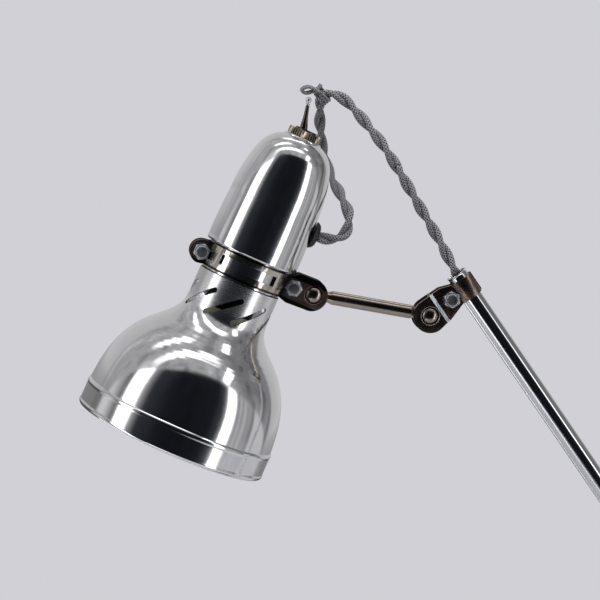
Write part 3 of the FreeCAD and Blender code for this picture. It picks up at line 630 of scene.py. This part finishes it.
def line_points(name, route):
    """The smooth line of a route: a NURBS spline with the route's points."""
    data = bpy.data.curves.new(name + "_line", "CURVE")
    data.dimensions = "3D"
    spline = data.splines.new("NURBS")
    spline.points.add(len(route) - 1)
    for point, place in zip(spline.points, route):
        point.co = (*place, 1)
    spline.order_u = 3
    spline.use_endpoint_u = True
    data.resolution_u = 24
    helper = bpy.data.objects.new(name + "_line", data)
    bpy.context.scene.collection.objects.link(helper)
    bpy.context.view_layer.update()
    mesh = bpy.data.meshes.new_from_object(helper)
    points = [v.co.copy() for v in mesh.vertices]
    bpy.data.objects.remove(helper)
    return points


def evenly(points, gap):
    """Places about `gap` apart along a line, with the line's directions there."""
    points = np.array(points)
    keep = np.r_[True, np.linalg.norm(np.diff(points, axis=0), axis=1) > 1e-7]
    points = points[keep]
    run = np.r_[0, np.cumsum(np.linalg.norm(np.diff(points, axis=0), axis=1))]
    wanted = np.linspace(0, run[-1], max(3, round(run[-1] / gap) + 1))
    places = np.stack([np.interp(wanted, run, points[:, k]) for k in range(3)], axis=1)
    directions = np.gradient(places, axis=0)
    directions /= np.linalg.norm(directions, axis=1)[:, None]
    return wanted, places, directions


def carried_frames(directions, first):
    """A direction square to the line, carried along it without twist."""
    side = first - directions[0] * first.dot(directions[0])
    side /= np.linalg.norm(side)
    sides = [side]
    for direction in directions[1:]:
        side = side - direction * side.dot(direction)
        side /= np.linalg.norm(side)
        sides.append(side)
    sides = np.array(sides)
    return sides, np.cross(directions, sides)


def strands(name, points, cores, core_r, pitch, side=(0, 1, 0), phase=0.0, gap=1.1, around=14):
    """Twisted cores about a line, each a tube with an `along` map for its braid.

    Returns the mesh, the line's points, its length and the side and phase at its end.
    """
    run, places, directions = evenly(points, gap * MM)
    sides, ups = carried_frames(directions, np.array(side, float))
    bm = bmesh.new()
    uv_layer = bm.loops.layers.uv.new("along")
    for core in range(cores):
        angles = phase + math.tau * (run / (pitch * MM) + core / cores)
        spread = core_r * MM if cores > 1 else 0.0
        centres = places + spread * (np.cos(angles)[:, None] * sides
                                     + np.sin(angles)[:, None] * ups)
        headings = np.gradient(centres, axis=0)
        headings /= np.linalg.norm(headings, axis=1)[:, None]
        across, over = carried_frames(headings, sides[0])
        rings = []
        for centre, a, b in zip(centres, across, over):
            rings.append([bm.verts.new(centre + core_r * MM * (math.cos(t) * a + math.sin(t) * b))
                          for t in (math.tau * i / around for i in range(around))])
        for k, (ring, following) in enumerate(zip(rings, rings[1:])):
            for i in range(around):
                j = (i + 1) % around
                face = bm.faces.new((ring[i], ring[j], following[j], following[i]))
                corners = ((run[k], i), (run[k], i + 1), (run[k + 1], i + 1), (run[k + 1], i))
                for loop, (length, turn) in zip(face.loops, corners):
                    loop[uv_layer].uv = (length / MM, turn / around)
        bm.faces.new(reversed(rings[0]))
        bm.faces.new(rings[-1])
    mesh = bpy.data.meshes.new(name)
    bm.to_mesh(mesh)
    bm.free()
    mesh.shade_smooth()
    end = (tuple(sides[-1]), phase + math.tau * run[-1] / (pitch * MM))
    return mesh, [tuple(p) for p in places], float(run[-1]), end


def flex(name, route, body, start, **lay):
    """A length of twisted two-core flex along a route, as two braided strands."""
    mesh, path, length, end = strands(name, line_points(name, route), 2, CORE_R, TWIST_PITCH,
                                      *start)
    piece = linked(name, mesh, FINISH["braid"], body)
    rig.slot(piece, "grey_braid")
    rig.cord(piece, exit=path[0], length=length, diameter=2 * FLEX_R * MM, path=path, **lay)
    return piece, end


def near(origin, *points):
    """Points of the row frame, each given in millimetres from an origin."""
    return [origin + Vector(p) * MM for p in points]


# ---- The cords ----------------------------------------------------------------------

def head_flex():
    """Out of the grommet, round behind the housing, through the knot and into the upper tube."""
    grommet = at(HEAD, HOUSING_R + GROMMET_OUT, GROMMET_Z)
    knot, wrist_top = near(WRIST, (-59.0, 10.5, 112.0), (-18.1, 0, 80.55))
    lower, end = flex("flex_behind_head", [grommet, *near(
        WRIST, (-54.4, 0.3, 41.1), (-46.0, 1.5, 43.0), (-42.4, 5, 52.6), (-45.8, 13, 63.0),
        (-51.0, 22, 72.5), (-55.0, 24, 84.0), (-57.5, 19.5, 95.0), (-58.6, 14, 105.5)), knot],
        None, ((0, 1, 0), 0.6), far_end="object", lay="hanging")
    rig.replaces(lower, "head_flex_lower")
    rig.blend(lower, "head", "link", start=grommet, end=knot)
    middle, end = flex("flex_over_top", [knot, *near(
        WRIST, (-59.22, 8.575, 115.575), (-56.2, 7.6, 119.8), (-51.6, 7.2, 120.2),
        (-45.0, 6.6, 116.4), (-38.0, 5.4, 108.6), (-31.2, 2.8, 100.1), (-24.3, 0.6, 91.0)),
        wrist_top],
        None, end, far_end="object", lay="hanging", with_pieces=[tie()])
    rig.replaces(middle, "head_flex_middle")
    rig.blend(middle, "link", "outer_ball", start=knot, end=wrist_top)
    upper, end = flex("flex_to_tube", [wrist_top, *near(
        WRIST, (-11.9, -0.6, 70.1), (-5.2, -0.3, 58.4), (1.8, 0, 46.9), (8.2, 0, 35.4)),
        UPPER_END], None, end, far_end="object", lay="hanging")
    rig.replaces(upper, "head_flex_upper")
    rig.blend(upper, "outer_ball", "upper_arm", start=wrist_top, end=UPPER_END)


def tie():
    """The flex's short tie: twine doubled in a small loop and wrapped three times round it."""
    loop = near(WRIST, (-59.6, 3.6, 121.0), (-62.4, 3.4, 123.0), (-66.6, 3.0, 124.5),
                (-70.3, 3.4, 122.4), (-67.6, 4.0, 120.3), (-63.4, 4.6, 121.6), (-59.8, 5.4, 123.4),
                (-58.9, 5.8, 125.2))
    axis = Vector((0.76, -0.15, 0.63)).normalized()
    middle, = near(WRIST, (-57.6, 7.9, 118.4))
    out = axis.cross(Vector((0, 1, 0))).normalized()
    side = axis.cross(out)
    wrap_r, wrap_pitch, wrap_start, per_turn = 3.95, 1.5, -2.2, 16
    wraps = []
    for i in range(3 * per_turn + 1):
        turn = math.tau * i / per_turn
        wraps.append(middle + (axis * (wrap_pitch * i / per_turn + wrap_start)
                               + wrap_r * (out * math.cos(turn) + side * math.sin(turn))) * MM)
    bm = bmesh.new()
    bm.loops.layers.uv.new("along")
    for k, (route, shift) in enumerate(((loop, 0.0), (loop, 1.3), (wraps, 0.0))):
        points = [p + Vector((0.3, -0.9, -0.4)) * shift * MM for p in route]
        part, *_ = strands(f"tie_{k}", line_points(f"tie_{k}", points), 1, 0.8, 9.0, around=10,
                           gap=0.5)
        bm.from_mesh(part)
    mesh = bpy.data.meshes.new("tie")
    bm.to_mesh(mesh)
    bm.free()
    mesh.shade_smooth()
    piece = linked("tie", mesh, FINISH["braid"], "link")
    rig.slot(piece, "tie_twine")
    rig.replaces(piece, "tie_loop")
    return piece


def arm_loops():
    """The loops at the elbow and the shoulder, from a side grommet into the next open tube."""
    elbow, shoulder = leaning(ELBOW, UPPER_LEAN), leaning(SHOULDER, LOWER_LEAN)
    hole = at(elbow, 7.8, 60)
    loop, _ = flex("flex_at_elbow", [
        hole, at(elbow, 24.0, 61.0),
        *near(ELBOW, (10.0, 0.5, 66.0), (30.0, 0.5, 58.0), (39.5, 0.3, 40.0)),
        at(LOWER, 0, 19), LOWER_END], None, ((0, 1, 0), 0.0), far_end="object", lay="loose")
    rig.replaces(loop, "elbow_flex")
    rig.blend(loop, "lower_arm", "upper_arm", start=LOWER_END, end=hole)
    hole = at(shoulder, -7.8, 60)
    loop, _ = flex("flex_at_shoulder", [
        hole, at(shoulder, -22.0, 60),
        *near(SHOULDER, (-12.0, 0.4, 67.5), (-25.5, 0.4, 57.0), (-29.5, 0.2, 41.0),
              (-24.9, 0, 25.5)), POST_TOP], None, ((0, 1, 0), 0.0), far_end="object", lay="loose")
    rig.replaces(loop, "shoulder_flex")
    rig.blend(loop, "post", "lower_arm", start=POST_TOP, end=hole)


def coil_route(start_angle, end_angle):
    """Turns from the outside in along the floor, then up and out again on top."""
    turns = [(COIL_R + 2 * FLEX_R * side, FLOOR_LINE + 2 * FLEX_R * layer)
             for layer, sides in ((0, (1, 0, -1)), (1, (-1, 0, 1))) for side in sides]
    per_turn, move = 16, 0.22
    shrink = math.cos(math.pi / per_turn) ** -1
    steps = round((end_angle - start_angle) / 360 * per_turn)
    points = []
    for i in range(1, steps):
        angle = start_angle + (end_angle - start_angle) * i / steps
        turn, part = divmod((angle - start_angle) / 360, 1)
        here, after = (turns[min(int(turn) + k, len(turns) - 1)] for k in (0, 1))
        blend = max(0.0, (part - 1 + move) / move)
        blend = blend * blend * (3 - 2 * blend)
        radius = (here[0] + (after[0] - here[0]) * blend) * shrink
        height = here[1] + (after[1] - here[1]) * blend
        points.append((COIL_CENTRE[0] + radius * math.cos(math.radians(angle)),
                       COIL_CENTRE[1] + radius * math.sin(math.radians(angle)), height))
    return points


def mains_lead():
    """Out of the gland, into the stored coil behind the base and on to the plug."""
    coil_x, coil_y = COIL_CENTRE
    plug_x, plug_y = coil_x - 91.5, coil_y - 52.6
    route = [(0, BASE_R + 24, 10), (0.5, BASE_R + 32, 8.4), (4.2, BASE_R + 41, 5.0),
             (10.2, BASE_R + 50.3, FLOOR_LINE), (16.8, BASE_R + 60, FLOOR_LINE),
             (20.6, BASE_R + 71, FLOOR_LINE), *coil_route(-10, 197 + 5 * 360),
             (coil_x - 49.6, coil_y - 31.5, 7.6), (coil_x - 54.0, coil_y - 41.0, 4.4),
             (coil_x - 62.5, coil_y - 48.2, FLOOR_LINE), (coil_x - 73.5, coil_y - 52.2, 5.6),
             (plug_x + 6, plug_y, 9.2), (plug_x, plug_y, 9.8)]
    lead, _ = flex("mains_flex", near(Vector(), *route), "base", ((0, 0, 1), 0.0),
                   far_end="plug", stiffness="medium", lay="coiled",
                   with_pieces=[bevelled("plug_body", FINISH["moulding"], 0.3),
                                bevelled("plug_pins", FINISH["brass"], 0.2)])
    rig.replaces(lead, "mains_lead", "mains_coil", "mains_tail")


# ---- The head -----------------------------------------------------------------------

def shade():
    """The bell with its neck, from one outline: outside, rolled rim and lining."""
    bell = [(NECK_R, -8.3), (NECK_R, -15), (NECK_R, -22), (23.4, -27.6), (26.2, -33.2),
            (30.6, -38.2), (35.6, -42.8), (41.2, -49.0), (46.2, -57.0), (49.8, -66.2),
            (51.9, -76.0), (52.9, -86.2)]
    outer = [bell[0], *curve_points(bell, 6)]
    outer = [p for p in outer if p[1] < -22.1 or abs(p[0] - NECK_R) < 0.05]
    lining = []
    for before, here, after in zip(outer[:-2], outer[1:-1], outer[2:]):
        run = Vector((after[0] - before[0], after[1] - before[1])).normalized()
        lining.append((here[0] + run.y * WALL, here[1] - run.x * WALL))
    rim = profile([outer[-1], (53.7, -88.0, RIM_R, -89.2), (RIM_R, -98.6),
                   (RIM_R - 0.1, -100.9, RIM_R - 2.4, RIM_Z),
                   (RIM_R - 3.0, -100.2, RIM_R - 2.2, -99.4), (RIM_R - WALL, -98.4),
                   (RIM_R - WALL, -89.2)])
    outline = [(15.0, -7.3), (NECK_R - 0.5, -7.3), (NECK_R, -7.8), *outer, *rim[1:],
               *reversed(lining), (NECK_R - WALL, -8.3), (15.0, -8.3)]
    mesh = lathe_mesh("bell_shade", supported(outline), HEAD, 256)
    piece = linked("bell_shade", mesh, FINISH["shade"], "head")
    cut_with(piece, [slot_cutter(360 / SLOTS * i + SLOT_START) for i in range(SLOTS)])
    smoothed(piece.data)
    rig.replaces(piece, "shade")


def slot_cutter(angle):
    """A round-ended bar through the neck's wall, slanting across it."""
    place = (HEAD @ Matrix.Rotation(math.radians(angle), 4, "Z")
             @ Matrix.Translation(Vector((0, -21, SLOT_Z)) * MM)
             @ Matrix.Rotation(math.radians(SLOT_SLANT), 4, "Y"))
    outline = [(SLOT_END_R * math.cos(t), SLOT_HALF + SLOT_END_R * math.sin(t))
               for t in (math.pi * i / 10 for i in range(11))]
    outline += [(-x, -z) for x, z in outline]
    bm = bmesh.new()
    outer, inner = ([bm.verts.new(at(place, x, z, y)) for x, z in outline] for y in (-7, 7))
    bm.faces.new(outer)
    bm.faces.new(reversed(inner))
    for k, after in enumerate([*range(1, len(outline)), 0]):
        bm.faces.new((outer[after], outer[k], inner[k], inner[after]))
    bmesh.ops.recalc_face_normals(bm, faces=bm.faces)
    mesh = bpy.data.meshes.new("slot")
    bm.to_mesh(mesh)
    bm.free()
    return linked("slot", mesh, FINISH["shade"], None)


def housing():
    """The bullet: outside up to the toggle's hole, then back down inside to the turned-in foot."""
    outline = [(HOUSING_R, 9.2), (25.7, 25, 25.05, 38), (23.8, 53.5, 20.9, 65),
               (17.0, 71.6, 10.6, 75.9), (10.2, HOUSING_TOP - 0.1, 9.6, HOUSING_TOP),
               (6.1, HOUSING_TOP), (6.1, HOUSING_TOP - WALL), (9.4, HOUSING_TOP - WALL),
               (16.2, 71.0, 19.9, 64.8), (22.8, 53.4, 24.05, 38), (24.7, 25, 24.9, 9.4),
               (24.4, 8.6), (21.2, 8.6), (21.2, 7.7), (24.6, 7.7), (25.6, 8.1, HOUSING_R, 9.2)]
    points = profile(outline, 14)[:-1]
    mesh = lathe_mesh("bullet_housing", supported(points), HEAD, 256)
    smoothed(mesh)
    piece = linked("bullet_housing", mesh, FINISH["spun"], "head")
    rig.replaces(piece, "housing")


def paint_fold_highlight(piece, place):
    """A painted highlight on the folded step of a joint plate: the bright zinc finish on its slanted faces, clear of
    the tube it clamps.
    """
    piece.data.materials.append(FINISH["zinc"])
    inverse = place.inverted()
    for face in piece.data.polygons:
        if 0.2 < abs(face.normal.y) < 0.93 and (inverse @ face.center).x < -10 * MM:
            face.material_index = 1


def coat_above(piece, place, height, finish):
    """A second finish on the faces beyond a height of a turned piece's own axis."""
    piece.data.materials.append(finish)
    inverse = place.inverted()
    for face in piece.data.polygons:
        if (inverse @ face.center).z > height * MM:
            face.material_index = 1


def small_head_parts():
    """The band and its bolts, ring, grommet, inner neck and toggle."""
    for node in ("band_front", "band_rear"):
        bevelled(node, FINISH["band"], 0.35)
    bevelled("band_nuts", FINISH["zinc"], 0.16)
    bevelled("band_bolts", FINISH["bolt"], 0.16)
    bevelled("ring_nut", FINISH["ring"], 0.12)
    side = (HEAD @ Matrix.Translation(Vector((HOUSING_R, 0, GROMMET_Z)) * MM)
            @ Matrix.Rotation(math.radians(90), 4, "Y"))
    turned("head_grommet_finished", [
        (FLEX_BORE, -4.9), (6.8, -4.9), (6.8, -2.7), (4.95, -2.7), (4.95, 0.05), (7.5, 0.05),
        (6.6, 1.7, 4.6, GROMMET_OUT), (FLEX_BORE, GROMMET_OUT)], side, FINISH["rubber"], "head",
        "head_grommet", 64)
    turned("neck_sleeve", [(20.9, -7.25), (20.9, 17), (19.9, 17), (19.9, -7.25)], HEAD,
           FINISH["spun"], "head", "neck_core", 192)
    lever = turned("toggle", [
        (0, -2.3), (1.6, -1.6, 2.3, 0), (2.2, 5.2), (2.1, 8.6), (1.3, 14), (0.95, 20.5),
        (1.25, 22.3), (1.5, 23.6, 0.9, 24.8), (0, 25.1)], LEVER, FINISH["lever"], "toggle",
        "toggle_lever", 48)
    # The tip above 21.2 mm takes the bright zinc finish: a painted highlight on the lever's ball end.
    coat_above(lever, LEVER, 21.2, FINISH["zinc"])


# ---- Link, arms and base --------------------------------------------------------------

def link():
    """The rod with its ball toward the head, and the ball at the wrist that it plugs into."""
    neck, flare, spigot = 7.6, 10.5, 2.5
    reach = math.acos(2.9 / BALL_R)
    ball = [(BALL_R * math.cos(a), LINK_LENGTH + BALL_R * math.sin(a))
            for a in (-reach + (math.pi / 2 + reach) * i / 20 for i in range(21))]
    outline = [(0, -5.4), (spigot, -5.4), (spigot, BALL_R + 0.2), (2.9, BALL_R + 0.2),
               (2.9, neck), (3.3, neck + 1.6, ROD_R, flare), (ROD_R, LINK_LENGTH - flare),
               (3.3, LINK_LENGTH - neck - 1.6, 2.9, LINK_LENGTH - neck), *ball]
    bar = turned("link_bar", outline, LINK, FINISH["link"], "link", "link_rod", 64)
    # The ball end takes the darker ball finish: painted shade of the plate hole it sits in.
    coat_above(bar, LINK, LINK_LENGTH - 6.5, FINISH["ball"])
    bore = spigot + 0.05
    reach = math.acos(bore / BALL_R)
    ring = [(BALL_R * math.cos(a), BALL_R * math.sin(a))
            for a in (-reach + 2 * reach * i / 32 for i in range(33))]
    # The wrist ball takes the same darker finish: painted shade of the plates' holes.
    turned("wrist_ball_finished", ring, LINK, FINISH["ball"], "outer_ball", "wrist_ball", 96)


def arms():
    """Both tubes with their flared open ends and eyes, and the clamps of the three joints."""
    for name, place in (("lower", LOWER), ("upper", UPPER)):
        body = name + "_arm"
        outline = [(TUBE_BORE, -TUBE_LENGTH), (TUBE_R, -TUBE_LENGTH), (TUBE_R, -1.6),
                   (TUBE_R + 0.12, -0.7, TUBE_R + 0.5, -0.12), (TUBE_R + 0.42, 0.0),
                   (TUBE_BORE + 0.6, 0), (TUBE_BORE, -0.7)]
        turned(name + "_arm_tube", outline, place, FINISH[name], body, name + "_tube", 96)
        bevelled(name + "_eye", FINISH["chrome"], 0.4)
        for part in ("bush", "grommet"):
            bevelled(f"{name}_{part}", FINISH["rubber"], 0.25)
    for node, place in (("wrist", UPPER), ("elbow", LOWER), ("shoulder", POST)):
        for side in ("front", "rear"):
            piece = bevelled(f"{node}_plate_{side}", FINISH["plate"], 0.3)
            # the fold's bright line is a painted highlight
            paint_fold_highlight(piece, place)
    bevelled("wrist_bolt", FINISH["bolt"], 0.16)
    for node in ("wrist_nut", "elbow_fasteners", "shoulder_fasteners"):
        bevelled(node, FINISH["zinc"], 0.16)


def base():
    """The pressed cover, and the pad, gland, bush and post that belong to it."""
    outline = [(BASE_R, 1.0), (BASE_R, 20), (BASE_R - 3.6, 29.5, BASE_R - 14, BASE_TOP),
               (24, BASE_TOP), (19.5, BASE_TOP + 1.5, 18, BOSS_TOP), (14.2, BOSS_TOP),
               (14.2, BOSS_TOP - 1.5), (16.6, BOSS_TOP - 1.5),
               (18.3, BASE_TOP + 0.2, 23.4, BASE_TOP - 1.5), (BASE_R - 14, BASE_TOP - 1.5),
               (BASE_R - 4.7, 28.5, BASE_R - 1.5, 20), (BASE_R - 1.5, 1.0)]
    turned("base_shell", outline, WORLD, FINISH["enamel"], "base", "base_cover", 192, 12)
    bevelled("base_pad", FINISH["rubber"], 0.4)
    bevelled("base_gland", FINISH["rubber"], 0.3)
    bevelled("swivel_bush", FINISH["nylon"], 0.2)
    bevelled("post", FINISH["chrome"], 0.2)
    bevelled("post_bush", FINISH["rubber"], 0.2)


def rest_of_frame():
    """Finishes for the CAD pieces whose own shape is shown."""
    finishes = {"base_weight": "iron", "base_screws": "zinc", "swivel_nut": "zinc",
                "holder_bridge": "zinc", "bridge_screws": "zinc", "lampholder": "holder",
                "shade_ring": "moulding", "switch_body": "moulding", "bulb_cap": "cap",
                "bulb_glass": "glass", "base_inner_flex": "inner", "lower_inner_flex": "inner",
                "upper_inner_flex": "inner"}
    for node, finish in finishes.items():
        piece = frame["nodes"][node]
        for slot in piece.material_slots:
            slot.material = FINISH[finish]
        smoothed(piece.data)


# ---- Stage and light ------------------------------------------------------------------

def stage():
    """A pale round floor that fades into the backdrop at its edge."""
    surface = Surface("floor", (0.60, 0.60, 0.63), 0.85)
    x, y, _ = surface.parts(surface.coords)
    away = surface.maths("DIVIDE", surface.off_axis(x, y), FLOOR_R)
    fade = surface.ramp(away, (0.45, 0.0), (0.98, 1.0))
    clear = surface.add("ShaderNodeBsdfTransparent")
    mix = surface.add("ShaderNodeMixShader", {0: fade, 1: surface.shader.outputs[0],
                                              2: clear.outputs[0]})
    output = surface.tree.nodes["Material Output"]
    surface.tree.links.new(mix.outputs[0], output.inputs["Surface"])
    mesh = bpy.data.meshes.new("floor")
    rim = [(FLOOR_R * math.cos(a), FLOOR_R * math.sin(a), -0.0002)
           for a in (math.tau * i / 96 for i in range(96))]
    mesh.from_pydata(rim, [], [tuple(range(96))])
    mesh.materials.append(surface.material)
    floor = bpy.data.objects.new("floor", mesh)
    bpy.context.scene.collection.objects.link(floor)
    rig.stage(floor)


def world():
    """The room that the metal mirrors, laid out about the head's own axis.

    Toward the camera it is dark, with a tall bright panel on each side and lamps above;
    elsewhere it is pale.  The camera itself sees plain pale grey.
    """
    made = bpy.data.worlds.new("studio")
    bpy.context.scene.world = made
    made.use_nodes = True
    room = Nodes(made.node_tree)
    add, ramp, maths = room.add, room.ramp, room.maths
    coords = add("ShaderNodeTexCoord").outputs["Generated"]
    turned_coords = add("ShaderNodeMapping", {
        "Vector": coords, "Rotation": (0, math.radians(-HEAD_LEAN), 0)}).outputs[0]
    x, y, z = room.parts(turned_coords)
    around = maths("MULTIPLY_ADD", maths("ARCTAN2", x, maths("MULTIPLY", y, -1.0)),
                   0.5 / math.pi, 0.5)

    def degrees(*stops):
        return [((angle + 180) / 360, level) for angle, level in stops]

    def bar(x_mid, half_x, y_mid, half_y):
        """A lamp overhead, as seen from below: a soft-edged oblong about a direction."""
        masks = []
        for place, middle, half in ((x, x_mid, half_x), (y, y_mid, half_y)):
            off = maths("ABSOLUTE", maths("SUBTRACT", place, middle))
            masks.append(ramp(maths("DIVIDE", off, half), (0.0, 1.0), (0.55, 0.9), (1.0, 0.0)))
        return maths("MULTIPLY", *masks)

    walls = ramp(around, *degrees(
        (-162, 0.07), (-157, 0.085), (-150, 0.10), (-131, 0.12), (-115, 0.14), (-101, 0.21),
        (-92, 0.12), (-86, 0.055), (-81, 0.07), (-77, 0.95), (-65, 1.0), (-60, 0.10),
        (-50, 0.012), (-25, 0.004), (0, 0.003), (30, 0.004), (40, 0.014), (45, 0.08), (47, 1.0),
        (56, 0.95), (60, 0.09), (63, 0.10), (66, 0.17), (69, 0.09), (73, 0.16), (77, 0.10),
        (83, 0.12), (87, 0.055)))
    beyond = ramp(around, *degrees((-180, 0.20), (-166, 0.185), (-160, 0.0), (86, 0.0),
                                   (90, 0.185), (140, 0.19), (180, 0.20)))
    height = maths("MULTIPLY_ADD", z, 0.5, 0.5)
    bow = maths("POWER", maths("MULTIPLY", maths("SUBTRACT", around, 0.52), 7.2), 2.0)
    wall_share = ramp(maths("MULTIPLY_ADD", bow, 0.08, height),
                      (0.165, 0.0), (0.18, 1.0), (0.858, 1.0), (0.888, 0.0))
    lamps = bar(-0.29, 0.58, -0.32, 0.09)
    for place in ((-0.52, 0.3, 0.04, 0.07), (-0.12, 0.32, 0.44, 0.08), (0.24, 0.08, 0.03, 0.06),
                  (0.46, 0.09, -0.40, 0.17)):
        lamps = maths("ADD", lamps, bar(*place))
    lamps = maths("MULTIPLY", lamps, ramp(height, (0.6, 0.0), (0.66, 1.0)))
    drawn = add("ShaderNodeMapping", {"Vector": turned_coords, "Scale": (3.0, 3.0, 0.8)})
    streaks = add("ShaderNodeTexNoise", {
        "Vector": drawn.outputs[0], "Scale": 1.6, "Detail": 3.0}).outputs[0]
    ceiling = ramp(streaks, (0.35, 0.07), (0.5, 0.14), (0.56, 0.12), (0.68, 0.19))
    dim = maths("MULTIPLY", bar(0.62, 0.42, 0.1, 0.6), 0.55)
    ceiling = maths("MULTIPLY", ceiling, maths("SUBTRACT", 1.0, dim))
    behind = maths("MULTIPLY_ADD", y, 0.5, 0.5)
    ceiling = maths("MAXIMUM", ceiling, ramp(behind, (0.73, 0.0), (0.78, 0.16), (1.0, 0.19)))
    ceiling = maths("MULTIPLY_ADD", lamps, maths("MULTIPLY_ADD", streaks, 1.4, 0.1), ceiling)
    floor = ramp(height, (0.0, 0.15), (0.06, 0.13), (0.085, 0.09), (0.095, 0.9), (0.16, 0.95),
                 (0.175, 0.03))
    ceiling = room.mix(ramp(height, (0.4, 0.0), (0.5, 1.0)), floor, ceiling)
    walls = maths("MULTIPLY", walls, maths("MULTIPLY_ADD", streaks, 0.9, 0.55))
    walls = maths("MAXIMUM", walls, beyond)
    mixed = room.mix(wall_share, ceiling, walls)
    tint = room.mix_colours(ramp(mixed, (0.0, 0.0), (0.035, 1.0)), (0.7, 0.82, 1.15, 1),
                            (1.0, 0.995, 1.01, 1))
    nodes, links = made.node_tree.nodes, made.node_tree.links
    mirrored = nodes["Background"]
    links.new(tint, mirrored.inputs["Color"])
    links.new(maths("MULTIPLY", mixed, 3.0), mirrored.inputs["Strength"])
    shown = add("ShaderNodeBackground", {"Color": (*BACKGROUND, 1)})
    mix = add("ShaderNodeMixShader", {0: add("ShaderNodeLightPath").outputs["Is Camera Ray"],
                                      1: mirrored.outputs[0], 2: shown.outputs[0]})
    links.new(mix.outputs[0], nodes["World Output"].inputs["Surface"])


def lights():
    """A broad lamp above that gives the soft shadows; the metal doesn't mirror it."""
    data = bpy.data.lights.new("overhead", "AREA")
    data.shape, data.size, data.energy = "DISK", 1.2, 14
    lamp = bpy.data.objects.new("overhead", data)
    lamp.location = (-0.15, -0.35, 1.9)
    lamp.rotation_euler = (Vector((0, 0, 0.3)) - lamp.location).to_track_quat("-Z", "Y").to_euler()
    lamp.visible_glossy = False
    bpy.context.scene.collection.objects.link(lamp)


FINISH = {
    "spun": spun_metal("polished_aluminium", ALUMINIUM, 0.10, HEAD, 0.004),
    "shade": spun_metal("spun_aluminium", ALUMINIUM, 0.09, HEAD, 0.012, (-58, -30),
                        dull_above=-28.0),
    "chrome": spun_metal("chromed_steel", CHROME, 0.08, WORLD, 0.0004),
    "lower": spun_metal("lower_tube_chrome", CHROME, 0.08, LOWER, 0.0006),
    "upper": spun_metal("upper_tube_chrome", CHROME, 0.08, UPPER, 0.0006),
    "link": spun_metal("link_nickel", (0.40, 0.345, 0.30), 0.17, LINK, 0.0006),
    # Darker than the link's nickel: painted shade for balls sunk in their plates' holes.
    "ball": plated_metal("ball_nickel_painted_shade", (0.36, 0.31, 0.26), (0.26, 0.22, 0.19), 0.16),
    "lever": plated_metal("lever_steel", (0.13, 0.11, 0.105), (0.09, 0.08, 0.075), 0.2),
    "band": band_metal("band_nickel"),
    "plate": plated_metal("aged_nickel", (0.30, 0.235, 0.195), (0.19, 0.145, 0.115), 0.23),
    "zinc": plated_metal("zinc_plate", (0.70, 0.74, 0.78), (0.56, 0.60, 0.65), 0.36),
    "bolt": plated_metal("bolt_steel", (0.42, 0.43, 0.44), (0.30, 0.30, 0.30), 0.34, 0.03),
    "holder": holder_metal("holder_brass"),
    "ring": plated_metal("knurled_nickel", (0.42, 0.36, 0.28), (0.28, 0.235, 0.18), 0.22, 0.03),
    "brass": plated_metal("pin_brass", (0.78, 0.62, 0.32), (0.62, 0.48, 0.24), 0.25),
    "cap": plated_metal("bulb_cap", (0.78, 0.78, 0.76), (0.66, 0.66, 0.64), 0.3),
    "iron": moulded("cast_iron", (0.045, 0.045, 0.05), 0.6, 0.15),
    "enamel": moulded("base_enamel", (0.016, 0.017, 0.021), 0.22, 0.01),
    "rubber": moulded("black_rubber", (0.012, 0.012, 0.012), 0.5),
    "moulding": moulded("black_moulding", (0.010, 0.010, 0.011), 0.28),
    "nylon": moulded("nylon", (0.55, 0.53, 0.48), 0.45),
    "inner": moulded("flex_inside", (0.12, 0.115, 0.125), 0.8, 0.05),
    "braid": braid("grey_braid"),
    "glass": frosted_glass("frosted_glass"),
}

add_camera()
head_flex()
arm_loops()
mains_lead()
shade()
housing()
small_head_parts()
link()
arms()
base()
rest_of_frame()
stage()
world()
lights()

bpy.context.scene.view_settings.view_transform = "Standard"
with open("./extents.json", "w") as out:
    json.dump([[list(corner) for corner in box] for box in (cad_box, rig.bounds())], out)
